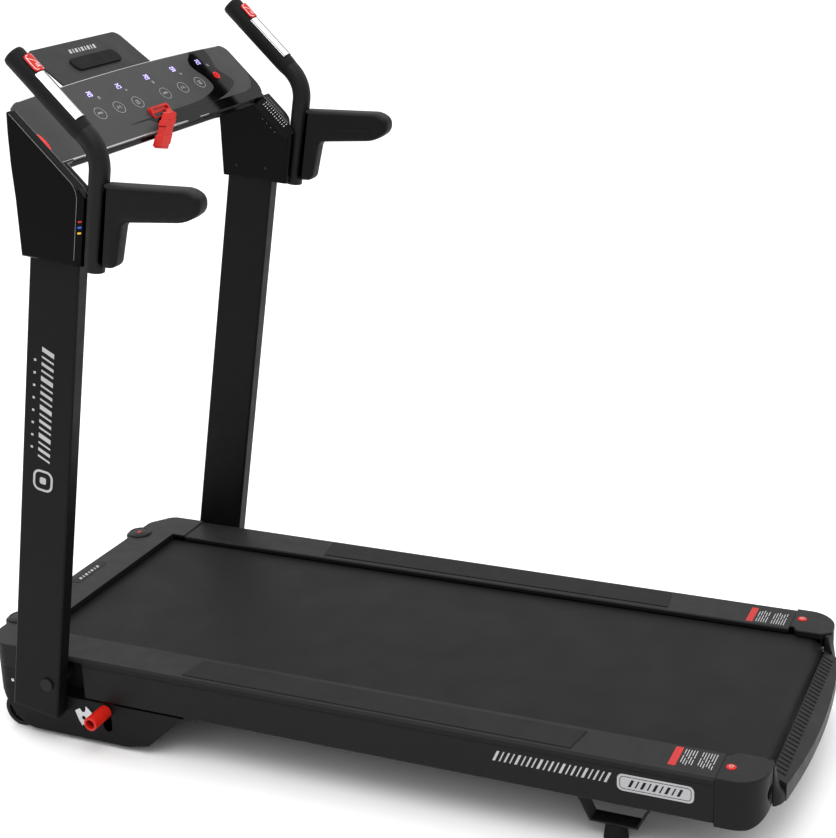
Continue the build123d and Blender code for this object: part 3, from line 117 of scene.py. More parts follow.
def surface(name, color, rough, metallic=0.0, specular=0.12, coat=0.0, grain=0.0, grain_scale=900.0,
            mottle=0.10, mottle_scale=9.0, rough_vary=0.06, edge=1.2, wear=0.0, stretch=None, sheen=0.0,
            height=None, top=1.0):
    """Procedural finish: mottled colour, uneven gloss, fine grain, softened and slightly worn edges, and
    where top is set, faces that look up painted paler as painted light from above.
    """
    made = bpy.data.materials.new(name)
    made.use_nodes = True
    tree = made.node_tree
    shader = tree.nodes["Principled BSDF"]
    shader.inputs["Metallic"].default_value = metallic
    shader.inputs["Specular IOR Level"].default_value = specular
    shader.inputs["Coat Weight"].default_value = coat
    shader.inputs["Coat Roughness"].default_value = 0.06
    shader.inputs["Sheen Weight"].default_value = sheen
    shader.inputs["Sheen Roughness"].default_value = 0.5
    # colour: broad mottling, and lighter wear along edges
    mix = node(tree, "ShaderNodeMix", data_type="RGBA")
    mix.inputs["A"].default_value = shade(color, 1 - mottle)
    mix.inputs["B"].default_value = shade(color, 1 + mottle)
    tree.links.new(ramp(tree, noise(tree, mottle_scale, stretch=stretch), 0, 1), mix.inputs["Factor"])
    out = mix.outputs["Result"]
    if top != 1:
        # painted light: faces that look up are paler, standing in for light from above, by a given factor
        split = node(tree, "ShaderNodeSeparateXYZ")
        tree.links.new(node(tree, "ShaderNodeTexCoord").outputs["Normal"], split.inputs[0])
        painted_top_light = node(tree, "ShaderNodeMix", data_type="RGBA")
        painted_top_light.inputs["B"].default_value = shade(color, top)
        tree.links.new(out, painted_top_light.inputs["A"])
        tree.links.new(ramp(tree, split.outputs["Z"], 0, 1, 0.35, 0.95), painted_top_light.inputs["Factor"])
        out = painted_top_light.outputs["Result"]
    bevel = node(tree, "ShaderNodeBevel", samples=4, in_Radius=edge * MM)
    if wear:
        normal = node(tree, "ShaderNodeNewGeometry").outputs["Normal"]
        dot = node(tree, "ShaderNodeVectorMath", operation="DOT_PRODUCT")
        tree.links.new(normal, dot.inputs[0])
        tree.links.new(bevel.outputs["Normal"], dot.inputs[1])
        worn = node(tree, "ShaderNodeMix", data_type="RGBA")
        worn.inputs["B"].default_value = shade([0.5 * c + 0.05 for c in color], 1 + wear * 4)
        tree.links.new(out, worn.inputs["A"])
        tree.links.new(ramp(tree, dot.outputs["Value"], wear, 0, 0.90, 0.995), worn.inputs["Factor"])
        out = worn.outputs["Result"]
    tree.links.new(out, shader.inputs["Base Color"])
    gloss = ramp(tree, noise(tree, mottle_scale * 4, stretch=stretch), rough - rough_vary, rough + rough_vary)
    tree.links.new(gloss, shader.inputs["Roughness"])
    # relief
    last = bevel.outputs["Normal"]
    if height:
        bump = node(tree, "ShaderNodeBump", in_Strength=1.0, in_Distance=height[1])
        tree.links.new(height[0](tree), bump.inputs["Height"])
        tree.links.new(last, bump.inputs["Normal"])
        last = bump.outputs["Normal"]
    if grain:
        bump = node(tree, "ShaderNodeBump", in_Strength=1.0, in_Distance=grain * MM)
        tree.links.new(noise(tree, grain_scale, 2.0, stretch), bump.inputs["Height"])
        tree.links.new(last, bump.inputs["Normal"])
        last = bump.outputs["Normal"]
    tree.links.new(last, shader.inputs["Normal"])
    return made


def glow(name, color, strength):
    """Glowing surface, for lit display elements and for painted light on parts that are no lamps."""
    made = surface(name, color, 0.35, edge=0.1, grain=0.01)
    shader = made.node_tree.nodes["Principled BSDF"]
    shader.inputs["Emission Color"].default_value = tuple(color) + (1.0,)
    shader.inputs["Emission Strength"].default_value = strength
    return made


def wave_height(axes, pitch):
    """Height of straight ridges that repeat along one axis, or of a woven cross of two."""
    def build(tree):
        place = node(tree, "ShaderNodeTexCoord").outputs["Object"]
        split = node(tree, "ShaderNodeSeparateXYZ")
        tree.links.new(place, split.inputs[0])
        waves = []
        for axis in axes:
            scaled = node(tree, "ShaderNodeMath", operation="MULTIPLY")
            scaled.inputs[1].default_value = 2 * pi / (pitch * MM)
            tree.links.new(split.outputs[axis], scaled.inputs[0])
            wave = node(tree, "ShaderNodeMath", operation="SINE")
            tree.links.new(scaled.outputs[0], wave.inputs[0])
            waves.append(wave.outputs[0])
        if len(waves) == 1:
            return waves[0]
        product = node(tree, "ShaderNodeMath", operation="MULTIPLY")
        tree.links.new(waves[0], product.inputs[0])
        tree.links.new(waves[1], product.inputs[1])
        return product.outputs[0]
    return build


# top above 1 paints faces that look up paler: painted light from above, not a colour of the material
MATERIALS = {
    "frame_paint": surface("frame_paint", (0.012, 0.012, 0.0125), 0.45, grain=0.02, wear=0.15),
    "upright_paint": surface("upright_paint", (0.0040, 0.0040, 0.0042), 0.42, specular=0.10, grain=0.02,
                             grain_scale=1400, wear=0.08, edge=1.5),
    "bar_paint": surface("bar_paint", (0.0062, 0.0062, 0.0064), 0.50, specular=0.16, top=2.2,
                         grain=0.025, grain_scale=1600),
    "crossbar_paint": surface("crossbar_paint", (0.010, 0.010, 0.010), 0.45, grain=0.02),
    "motor_steel": surface("motor_steel", (0.42, 0.42, 0.43), 0.32, metallic=1.0, grain=0.01,
                           stretch=(1, 12, 12)),
    "rotor_steel": surface("rotor_steel", (0.30, 0.30, 0.31), 0.30, metallic=1.0, grain=0.01,
                           stretch=(12, 1, 1)),
    "bearing_steel": surface("bearing_steel", (0.60, 0.60, 0.61), 0.22, metallic=1.0, grain=0.004),
    "roller_steel": surface("roller_steel", (0.50, 0.50, 0.50), 0.28, metallic=1.0, grain=0.006,
                            stretch=(1, 9, 9)),
    "silver": surface("silver", (0.52, 0.52, 0.53), 0.30, metallic=1.0, grain=0.01, wear=0.2, edge=0.5),
    "chrome": surface("chrome", (0.86, 0.86, 0.87), 0.07, metallic=1.0, rough_vary=0.03, mottle=0.03,
                      edge=0.8),
    "drive_rubber": surface("drive_rubber", (0.010, 0.010, 0.010), 0.7, grain=0.05,
                            height=(wave_height((0,), 2.4), 0.3 * MM)),
    "running_belt": surface("running_belt", (0.0072, 0.0072, 0.0074), 0.52, specular=0.09, mottle=0.05,
                            mottle_scale=3, grain=0.03, grain_scale=2200,
                            height=(wave_height((0, 1), 2.6), 0.05 * MM), sheen=0.03),
    "deck_board": surface("deck_board", (0.11, 0.085, 0.06), 0.6, grain=0.05, stretch=(12, 1, 12)),
    "rubber": surface("rubber", (0.008, 0.008, 0.008), 0.75, grain=0.06, grain_scale=700),
    "wheel_plastic": surface("wheel_plastic", (0.009, 0.009, 0.009), 0.5, grain=0.03),
    "rail_cover": surface("rail_cover", (0.0070, 0.0070, 0.0072), 0.46, top=2.4, grain=0.035,
                          grain_scale=1500, mottle=0.05, edge=2.0),
    "foot_pad": surface("foot_pad", (0.0165, 0.0165, 0.017), 0.72, grain=0.22, grain_scale=520, edge=0.6),
    "cap_plastic": surface("cap_plastic", (0.0060, 0.0060, 0.0062), 0.42, top=2.4, grain=0.03,
                           grain_scale=1500, edge=3.0),
    "hood_plastic": surface("hood_plastic", (0.0080, 0.0080, 0.0082), 0.44, top=2.8, grain=0.035,
                            grain_scale=1500, mottle=0.05, edge=2.5),
    "hood_cap": surface("hood_cap", (0.016, 0.016, 0.0165), 0.38, specular=0.2, grain=0.02, edge=1.0),
    "belly_plastic": surface("belly_plastic", (0.0042, 0.0042, 0.0044), 0.48, grain=0.04, grain_scale=1300,
                             edge=2.0),
    "circuit": surface("circuit", (0.02, 0.11, 0.05), 0.35, coat=0.4, mottle=0.3, mottle_scale=160),
    "inlet_plastic": surface("inlet_plastic", (0.008, 0.008, 0.008), 0.5, grain=0.03),
    "red_plastic": surface("red_plastic", (0.52, 0.013, 0.007), 0.34, specular=0.22, mottle=0.08,
                           mottle_scale=60, grain=0.02, edge=0.8),
    "shroud_gloss": surface("shroud_gloss", (0.0010, 0.0010, 0.0011), 0.12, specular=0.07, rough_vary=0.03,
                            mottle=0.08, grain=0.004, grain_scale=700, edge=2.0),
    "console_body": surface("console_body", (0.0018, 0.0018, 0.0019), 0.12, specular=0.10, rough_vary=0.03,
                            grain=0.004, grain_scale=700, edge=2.0),
    "console_top": surface("console_top", (0.034, 0.034, 0.0345), 0.36, specular=0.2, mottle=0.04,
                           grain=0.012, grain_scale=1800, edge=1.2),
    "grip_foam": surface("grip_foam", (0.0055, 0.0055, 0.0057), 0.62, grain=0.07, grain_scale=1500,
                         sheen=0.04),
    "armrest_foam": surface("armrest_foam", (0.0032, 0.0032, 0.0034), 0.55, specular=0.13, top=6.0,
                            grain=0.09, grain_scale=900, sheen=0.02, mottle_scale=20),
    "flap_plastic": surface("flap_plastic", (0.024, 0.024, 0.0245), 0.45, mottle=0.05, grain=0.03,
                            grain_scale=1600, edge=1.2),
}
GLOSS_BLACK = surface("gloss_black", (0.0012, 0.0012, 0.0013), 0.10, specular=0.12, rough_vary=0.02, edge=0.1)
# pale grey: painted highlights along the shroud rims and band, and the real dots on the shrouds
EDGE_GREY = surface("edge_grey", (0.16, 0.16, 0.165), 0.30, specular=0.4, edge=0.1, grain=0.005)
LIT_WHITE = glow("lit_white", (0.55, 0.46, 1.0), 0.75)
PLATE_RED = surface("plate_red", (0.42, 0.03, 0.03), 0.45, edge=0.1, grain=0.01)
# glowing red: the lit ring of the start button, and the painted glow of the red part by the left rim
LIT_AND_PAINTED_RED = glow("lit_and_painted_red", (0.9, 0.006, 0.008), 0.5)
PRINT_GREY = surface("print_grey", (0.40, 0.40, 0.41), 0.4, edge=0.1, grain=0.01)
PRINT_WHITE = surface("print_white", (0.80, 0.80, 0.80), 0.4, edge=0.1, grain=0.01)
PLATE_SHADE = surface("plate_shade", (0.20, 0.20, 0.205), 0.25, metallic=1.0, edge=0.1, grain=0.005)
BUTTON_BLACK = surface("button_black", (0.012, 0.0012, 0.0012), 0.16, specular=0.3, edge=0.5, grain=0.005)
MARK_BLUE = surface("mark_blue", (0.04, 0.12, 0.62), 0.4, edge=0.1, grain=0.01)
MARK_YELLOW = surface("mark_yellow", (0.75, 0.45, 0.04), 0.4, edge=0.1, grain=0.01)

for entry in frame["record"]["subparts"]:
    target = NODES[entry["node"]]
    target.data.materials.clear()
    target.data.materials.append(MATERIALS[entry["material_slot"]])
NODES["start_button"].data.materials[0] = BUTTON_BLACK

# ---------------------------------------------------------------- mesh helpers
def piece(name, work, material, body, sharp=35, soften=0.0):
    """Finished object from a bmesh: smooth but for its sharp edges, riding on its body."""
    bmesh.ops.remove_doubles(work, verts=work.verts, dist=1e-6)
    bmesh.ops.recalc_face_normals(work, faces=work.faces)
    mesh = bpy.data.meshes.new(name)
    work.to_mesh(mesh)
    work.free()
    mesh.shade_smooth()
    mesh.set_sharp_from_angle(angle=radians(sharp))
    mesh.materials.append(material)
    made = bpy.data.objects.new(name, mesh)
    bpy.context.scene.collection.objects.link(made)
    if soften:
        bevel = made.modifiers.new("soften", "BEVEL")
        bevel.width = soften * MM
        bevel.segments = 3
        bevel.limit_method = "ANGLE"
        bevel.angle_limit = radians(40)
    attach(made, body)
    return made


def ring_faces(work, rings, closed=False):
    """Quads between successive rings of vertices."""
    count = len(rings)
    for n in range(count if closed else count - 1):
        lower, upper = rings[n], rings[(n + 1) % count]
        for k in range(len(lower)):
            step = (k + 1) % len(lower)
            work.faces.new((lower[k], lower[step], upper[step], upper[k]))


def skin(work, rings):
    """Closed shell through rings of points."""
    made = [[work.verts.new(point) for point in ring] for ring in rings]
    ring_faces(work, made)
    work.faces.new(made[0])
    work.faces.new(made[-1])


def rounded(corners, radii, steps=7):
    """Closed outline through corners, each rounded by its radius."""
    points = []
    for n, corner in enumerate(corners):
        here = Vector(corner)
        back = Vector(corners[n - 1]) - here
        ahead = Vector(corners[(n + 1) % len(corners)]) - here
        radius = radii[n] if isinstance(radii, (list, tuple)) else radii
        half = back.angle(ahead) / 2
        back.normalize()
        ahead.normalize()
        if not radius or half > pi / 2 - 0.01:
            points.append(here)
            continue
        reach = radius / tan(half)
        centre = here + (back + ahead).normalized() * radius / sin(half)
        first = here + back * reach - centre
        last = here + ahead * reach - centre
        sweep = first.angle_signed(last)
        for k in range(steps + 1):
            points.append(centre + Matrix.Rotation(-sweep * k / steps, 2) @ first)
    return points


def oblong(half_u, half_v, radius, steps=7, middle=(0, 0)):
    """Outline of a rectangle with rounded corners."""
    u, v = middle
    corners = ((u - half_u, v - half_v), (u + half_u, v - half_v),
               (u + half_u, v + half_v), (u - half_u, v + half_v))
    return rounded(corners, radius, steps)


def smooth_line(points, steps=6):
    """Catmull-Rom line through the points."""
    last = len(points) - 1
    made = []
    for n in range(last):
        p0, p1, p2, p3 = (Vector(points[min(max(n + k, 0), last)]) for k in (-1, 0, 1, 2))
        for k in range(steps):
            t = k / steps
            made.append(0.5 * (2 * p1 + (p2 - p0) * t + (2 * p0 - 5 * p1 + 4 * p2 - p3) * t * t
                               + (3 * p1 - p0 - 3 * p2 + p3) * t ** 3))
    made.append(Vector(points[-1]))
    return made


def prism(work, place, outline, low, high, taper=0.0):
    """Flat plate of an outline, standing from low to high, drawn in by taper at its top."""
    count = len(outline)
    middle_point = sum((Vector(p) for p in outline), Vector((0, 0))) / count
    rings = []
    for height, inset in ((low, 0), (high - taper, 0), (high, taper)):
        ring = []
        for p in outline:
            away = Vector(p) - middle_point
            shrunk = middle_point + away * (1 - inset / max(away.length, 1e-6))
            ring.append(place.at(shrunk.x, shrunk.y, height))
        rings.append(ring)
    skin(work, rings if taper else rings[:1] + rings[2:])


def stroke(work, place, points, width, low, high, closed=False):
    """Raised line along points, width across, standing from low to high."""
    points = [Vector(p) for p in points]
    count = len(points)
    rings = []
    for n, point in enumerate(points):
        before = points[n - 1] if closed or n else point
        after = points[(n + 1) % count] if closed or n < count - 1 else point
        into = (point - before).normalized() if n or closed else (after - point).normalized()
        out_of = (after - point).normalized() if n < count - 1 or closed else into
        along = (into + out_of).normalized()
        side = Vector((-along.y, along.x)) * width / 2 / max(0.5, along.dot(into))
        left, right = point + side, point - side
        rings.append([work.verts.new(place.at(p.x, p.y, w))
                      for p, w in ((left, low), (left, high), (right, high), (right, low))])
    ring_faces(work, rings, closed)
    if not closed:
        work.faces.new(rings[0])
        work.faces.new(rings[-1])


def arc(u, v, radius, start=0, stop=360, steps=24, flat=1.0):
    """Points on an arc round (u, v), squeezed along v by flat."""
    turns = [radians(start + (stop - start) * k / steps) for k in range(steps + (stop - start < 360))]
    return [(u + radius * cos(t), v + radius * flat * sin(t)) for t in turns]


def rod(work, points, radius, sides=8, across=Vector((1, 0, 0))):
    """Thin round bar along points in space."""
    rings = []
    for n, point in enumerate(points):
        along = (points[min(n + 1, len(points) - 1)] - points[max(n - 1, 0)]).normalized()
        side_a = across - along * across.dot(along)
        side_a.normalize()
        side_b = along.cross(side_a)
        rings.append([point + radius * (cos(2 * pi * k / sides) * side_a + sin(2 * pi * k / sides) * side_b)
                      for k in range(sides)])
    skin(work, rings)


def turn_steps(sides):
    """Angles of a full turn, cut into equal steps."""
    return [2 * pi * k / sides for k in range(sides)]


def knob(work, place, radius, height, edge, sides=32, dome=0.0, start=0.0):
    """Round button standing on a place, with a softened rim and a slight dome."""
    rings = [[place.at(radius * cos(a), radius * sin(a), start) for a in turn_steps(sides)]]
    for k in range(5):
        t = radians(90 * k / 4)
        r = radius - edge + edge * cos(t)
        rings.append([place.at(r * cos(a), r * sin(a), height - edge + edge * sin(t))
                      for a in turn_steps(sides)])
    for share in (0.6, 0.25):
        r = (radius - edge) * share
        rings.append([place.at(r * cos(a), r * sin(a), height + dome * (1 - share * share))
                      for a in turn_steps(sides)])
    skin(work, rings)


# ---------------------------------------------------------------- armrests
grip_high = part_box("grip_sleeves")[1]
SLEEVE_R = 17.8
BAR_X = grip_high.x / MM - SLEEVE_R
BAR_LOW = (368.5, 876)         # centre line of a handlebar at its foot, (y, z)
BAR_LEAN = 0.17158             # how far a handlebar's upright part leans back for each mm of height
REST_TOP = 1015.2
REST_LOW = 884.4
REST_BACK = 14.5               # how far behind the tube's centre line the rest begins
REST_HALF = 17.0               # half of its width
REST_ROUND = 9.5               # radius of its long edges
REST_STEPS = 7
REST_LINE = ((272, 982), (250, 983), (220, 984.5), (192, 986))     # moulded line on both faces, (y, z)
REST_LINE_R = 1.25


def bar_y(z):
    """Centre line of a handlebar's upright part at height z."""
    return BAR_LOW[0] - (z - BAR_LOW[1]) * BAR_LEAN


def rest_outline():
    """Side view of an armrest: a long pad, and a leg that runs down the tube."""
    corners = ((bar_y(REST_TOP) - REST_BACK, REST_TOP), (182, 1015), (164, 1003), (165, 981), (192, 963.5),
               (304, 957.5), (322.5, REST_LOW), (bar_y(REST_LOW) - REST_BACK, REST_LOW))
    return rounded(corners, (3, 38, 17, 20, 64, 15, 14, 3), 12)


def armrest(x_mid):
    """Moulded foam rest about x_mid, rounded all round."""
    outline = rest_outline()
    inward = []
    for n in range(len(outline)):
        along = (outline[(n + 1) % len(outline)] - outline[n - 1]).normalized()
        inward.append(Vector((-along.y, along.x)))
    layers = []
    for k in range(REST_STEPS + 1):
        turn = radians(90 * k / REST_STEPS)
        layers.append((REST_HALF - REST_ROUND + REST_ROUND * sin(turn), REST_ROUND * (1 - cos(turn))))
    rings = []
    for half, inset in [(-h, i) for h, i in reversed(layers)] + layers:
        ring = [p + v * inset for p, v in zip(outline, inward)]
        rings.append([Vector((x_mid + half, p.x, p.y)) * MM for p in ring])
    work = bmesh.new()
    skin(work, rings)
    return work


def cut(target, cutter_work):
    """Takes the cutter's shape out of the target's mesh."""
    mesh = bpy.data.meshes.new("cutter")
    cutter_work.to_mesh(mesh)
    cutter_work.free()
    cutter = bpy.data.objects.new("cutter", mesh)
    bpy.context.scene.collection.objects.link(cutter)
    change = target.modifiers.new("cut", "BOOLEAN")
    change.operation = "DIFFERENCE"
    change.solver = "EXACT"
    change.object = cutter
    seen = target.evaluated_get(bpy.context.evaluated_depsgraph_get())
    target.data = bpy.data.meshes.new_from_object(seen)
    target.modifiers.clear()
    bpy.data.objects.remove(cutter)


def armrests():
    """Both armrests, with a shallow moulded line on each face."""
    for name, side in LEFT_RIGHT:
        x_mid = side * BAR_X
        made = piece(f"armrest_pad_{name}", armrest(x_mid), MATERIALS["armrest_foam"], "mast",
                     sharp=50)
        cutter = bmesh.new()
        for face in (-1, 1):
            x = x_mid + face * (REST_HALF + 0.5)
            rod(cutter, [Vector((x, y, z)) * MM for y, z in REST_LINE], REST_LINE_R * MM)
        bmesh.ops.recalc_face_normals(cutter, faces=cutter.faces)
        cut(made, cutter)
        made.data.set_sharp_from_angle(angle=radians(50))
        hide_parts(f"armrest_{name}")


# ---------------------------------------------------------------- grips
SUNK = -0.2                    # how far a print reaches into the face that it lies on
RAISED = 0.25                  # how far it stands out of it


class Grip:
    """Curved face of a grip: u runs round it in millimetres, v down from its end, w out from it."""

    def __init__(self, side, radius):
        reach = SLEEVE_R * cos(SLOPE)
        self.end = Vector((side * BAR_X, grip_high.y / MM - reach, grip_high.z / MM - reach))
        self.radius = radius
        self.down = Vector((0, -cos(SLOPE), -sin(SLOPE)))
        self.facing = Vector((0, -sin(SLOPE), cos(SLOPE)))

    def at(self, u, v, w=0.0):
        angle = u / self.radius
        away = Vector((1, 0, 0)) * sin(angle) + self.facing * cos(angle)
        return (self.end + self.down * v + away * (self.radius + w)) * MM


# distance down from the end, and radius there
SLEEVE_PROFILE = ((0.3, 12.5), (0.5, 15.2), (1.5, 16.9), (3.4, 17.6), (5.5, 17.8), (40, 17.8), (100, 17.8),
                  (141, 17.8), (148, 17.75), (154, 17.4), (158, 16.95), (159.6, 16.6))
PLATE_R = SLEEVE_R + 1.2       # face of the chrome plate
PLATE_HALF = 12.6
PLATE_FROM = 50.5
PLATE_TO = 142.5
KEY_R = SLEEVE_R + 3.2         # face of the quick key
KEY_MIDDLE = 34


def grip_cover(name, side):
    """Foam sleeve with rounded ends."""
    sleeve = Grip(side, 1.0)
    rings = []
    for down, radius in SLEEVE_PROFILE:
        rings.append([sleeve.at(a, down, radius - 1.0) for a in turn_steps(40)])
    work = bmesh.new()
    skin(work, rings)
    made = piece(f"grip_cover_{name}", work, MATERIALS["grip_foam"], "mast", sharp=60)
    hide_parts("grip_sleeves")


def plate_edging(name, side):
    """Dark edging of the chrome plate, its parting line, and the shade along one side."""
    face = Grip(side, PLATE_R)
    work = bmesh.new()
    stroke(work, face, [(4.4, v) for v in range(53, 141, 3)], 1.0, SUNK, RAISED)
    edge = oblong(PLATE_HALF, (PLATE_TO - PLATE_FROM) / 2, 2, middle=(0, (PLATE_FROM + PLATE_TO) / 2))
    line = []
    for a, b in zip(edge, edge[1:] + edge[:1]):
        line += [a.lerp(b, share) for share in (0, 0.25, 0.5, 0.75)]
    stroke(work, face, line, 1.2, -1.1, 0.15, closed=True)
    piece(f"plate_edging_{name}", work, MATERIALS["inlet_plastic"], "mast")
    work = bmesh.new()
    for u in (6.1, 8.3, 10.5):
        stroke(work, face, [(u, v) for v in range(53, 142, 4)], 2.3, SUNK, 0.12)
    piece(f"plate_shade_{name}", work, PLATE_SHADE, "mast")


def quick_key_print(name, side):
    """Printed outline and marks of the quick key."""
    face = Grip(side, KEY_R)
    low, high = -0.3, 0.15
    work = bmesh.new()
    stroke(work, face, oblong(10, 14, 5, middle=(0, KEY_MIDDLE)), 0.9, low, high, closed=True)
    sweep = [(-9, KEY_MIDDLE - 9), (-3, KEY_MIDDLE - 4), (3, KEY_MIDDLE + 1), (9.5, KEY_MIDDLE + 3)]
    stroke(work, face, smooth_line(sweep), 0.8, low, high)
    for n in (-1, 0, 1):
        v = KEY_MIDDLE + 7 + n * 2.6
        stroke(work, face, [(-5, v), (0, v - 1.2), (5, v)], 0.8, low, high)
    piece(f"quick_key_print_{name}", work, PRINT_WHITE, f"quick_key_{name}")


def grips():
    for name, side in LEFT_RIGHT:
        grip_cover(name, side)
        plate_edging(name, side)
        quick_key_print(name, side)


# ---------------------------------------------------------------- console
# outline of the glossy inlay: its left edge from the front, its rear edge, its right edge to the front
INLAY_LEFT = ((221, 68.4), (214, 61), (203, 55), (194, 43), (198, 27), (207.5, 9.5), (207.7, -9.4),
              (192, -19), (151, -27.5), (112.8, -30.6), (40, -31.6), (-74.6, -33.2))
INLAY_REAR = ((-100, -34.5), (-20, -36.5), (90, -38.5))
INLAY_RIGHT = ((187, -39.5), (226, -33), (257.8, -24.1), (276.2, -15), (274.7, -2.1), (264, 14), (261, 27),
               (268, 40), (273, 55), (273, 66.8))
STRIP = ((-40, -36.5), (90, -39), (187, -40), (283, -41), (312, -36), (330, -24), (340, -8), (343.3, 6),
         (343.6, -26.5), (341, -40), (333.8, -50.2), (323, -57.6), (310, -60.2), (60, -60.2), (-20, -50))
DIGITS = {"0": "abcdef", "2": "abged", "5": "afgcd", "8": "abcdefg"}
SEGMENTS = {"a": ((0, 2), (1, 2)), "b": ((1, 2), (1, 1)), "c": ((1, 1), (1, 0)), "d": ((0, 0), (1, 0)),
            "e": ((0, 0), (0, 1)), "f": ((0, 1), (0, 2)), "g": ((0, 1), (1, 1))}
DIGIT_W = 3.9
DIGIT_H = 9.0
DIGIT_PITCH = 7.0
DIGIT_SLANT = 0.4
READOUTS = ((-129, 41, "20"), (-43, 41, "25"), (48, 43, "28"), (136, 44, "50"), (223, 44, "20"))
READOUT_MARKS = ((-114, 30), (-32, 30), (53, 30), (147, 31), (243, 33))
RINGS = ((-143, 2), (-86, 3), (-30, 2), (60, 3), (120, 4), (178, 4))     # touch fields
RING_U = 13.2
RING_V = 11.6


def glossy_inlay():
    """Glossy field of the display, and the dark strip behind it on the right."""
    work = bmesh.new()
    outline = smooth_line(INLAY_LEFT, 5) + list(INLAY_REAR) + smooth_line(INLAY_RIGHT, 5)
    prism(work, PANEL, outline, -0.3, 0.35)
    piece("display_inlay", work, GLOSS_BLACK, "mast")
    work = bmesh.new()
    prism(work, PANEL, STRIP, -0.3, 0.25)
    piece("rear_strip", work, GLOSS_BLACK, "mast")


def display_digits():
    """Seven-segment digits of the readouts."""
    work = bmesh.new()
    for u, v, text in READOUTS:
        for n, digit in enumerate(text):
            left = u - 6.0 + n * DIGIT_PITCH
            for name in DIGITS[digit]:
                ends = [(left + a * DIGIT_W + (b - 1) * DIGIT_SLANT, v - DIGIT_H / 2 + b * DIGIT_H / 2)
                        for a, b in SEGMENTS[name]]
                stroke(work, PANEL, ends, 1.3, SUNK, 0.5)
    piece("display_digits", work, LIT_WHITE, "mast")


def ring_sign(kind, u, v, k):
    """Line k (-1, 0 or 1) of a touch field's sign: arches, strokes or bars."""
    if kind == 0:
        return arc(u + k * 4.2, v - 1.5, 2.0, 0, 180, steps=8, flat=1.8)
    if kind == 1:
        return [(u - 6 + 4.2 * (k + 1), v + 3 * k), (u - 3 + 4.2 * (k + 1), v - 3 * k)]
    return [(u - 5, v + 3.2 * k), (u + 5, v + 3.2 * k)]


def display_marks():
    """Small ticks and circles under the readouts, and the touch fields with their signs."""
    work = bmesh.new()
    for n, (u, v) in enumerate(READOUT_MARKS):
        if n % 2:
            stroke(work, PANEL, [(u - 2.5, v + 2), (u, v - 2), (u + 3, v + 1.5)], 0.9, SUNK, 0.45)
        else:
            stroke(work, PANEL, arc(u, v, 2.4, steps=12), 0.9, SUNK, 0.45, closed=True)
    for n, (u, v) in enumerate(RINGS):
        circle = arc(u, v, RING_U, steps=40, flat=RING_V / RING_U)
        stroke(work, PANEL, circle, 0.65, SUNK, 0.3, closed=True)
        for k in (-1, 0, 1):
            stroke(work, PANEL, ring_sign(n % 3, u, v, k), 1.0, SUNK, 0.3)
    piece("display_marks", work, PRINT_GREY, "mast")


def start_ring():
    """Lit ring and dot on the start button."""
    low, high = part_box("start_button")
    button = PANEL.moved((low.x + high.x) / 2 / MM, 6.6)
    work = bmesh.new()
    stroke(work, button, arc(0, 0, 6.0, steps=36), 2.0, 3.2, 3.75, closed=True)
    knob(work, button, 1.5, 3.8, 0.4, sides=16, start=3.2)
    piece("start_ring", work, LIT_AND_PAINTED_RED, "start_button")


RED_GLOW = (-326.4, -17)           # middle of the red glow's straight side
RED_GLOW_REACH = 9.5
RED_GLOW_HALF = 19
RED_GLOW_RISE = 3.4


def side_red_glow():
    """Red half-round part against the left rim; its glow is painted light."""
    turns = [radians(-90 + 180 * n / 20) for n in range(21)]
    rings = []
    for k in range(6):
        t = radians(90 * k / 6)
        w = SUNK + RED_GLOW_RISE * sin(t)
        rings.append([PANEL.at(RED_GLOW[0] + RED_GLOW_REACH * cos(t) * max(0, cos(a)),
                               RED_GLOW[1] + RED_GLOW_HALF * cos(t) * sin(a), w) for a in turns])
    work = bmesh.new()
    skin(work, rings)
    piece("side_red_glow", work, LIT_AND_PAINTED_RED, "mast", sharp=70)


BOW = ((-326, 61), (20, 71.5), (344, 65))          # three points on the panel's front edge


def bow(u):
    """Front edge of the panel at u."""
    (a, va), (b, vb), (c, vc) = BOW
    return (va * (u - b) * (u - c) / ((a - b) * (a - c)) + vb * (u - a) * (u - c) / ((b - a) * (b - c))
            + vc * (u - a) * (u - b) / ((c - a) * (c - b)))


def console_trim_and_highlight():
    """Bright line along the panel's front edge, a painted highlight in silver, and silver trim along its rear
    edge.
    """
    work = bmesh.new()
    # painted highlight along the front edge
    stroke(work, PANEL, [(u, bow(u) - 0.7) for u in range(-300, 321, 20)], 1.1, -0.8, 0.15)
    # silver trim along the rear edge
    stroke(work, PANEL, [(-320, -59.6), (-200, -59.6), (-60, -59.6), (54, -59.6)], 2.0, -3.4, 0.2)
    stroke(work, PANEL, [(96, -59.8), (126, -59.8)], 1.4, -3.0, 0.3)
    piece("console_trim_and_highlight", work, MATERIALS["silver"], "mast")


# ---------------------------------------------------------------- shrouds
RIM = 627.0                    # z - y on top of the raised rims
OUTER_HIGHLIGHT_X = 344.7           # painted highlights along a rim's outer face and its inboard edge
INNER_HIGHLIGHT_X = 328.2
RIM_END = {"left": 490, "right": 411}             # where a rim ends in front
SHROUD_REAR = 17.5             # rear face, ahead of the tube's centre line
CORNER_R = 45.0
BAND_X = 308.25                # middle of the sloping band under a rim
SLAT = 3.4
SLAT_PITCH = 5.0
DOT_PITCH = 11


def rim_path(forward, down, rear, drop, radius):
    """Side view of a rim's edge, from forward on the slope, round the corner, down to height down."""
    rise = RIM - drop
    rear_y = (bar_y(rise) + rear) / (1 + BAR_LEAN)
    return rounded([(forward, forward + rise), (rear_y, rear_y + rise), (bar_y(down) + rear, down)],
                   (0, radius, 0), steps=14)


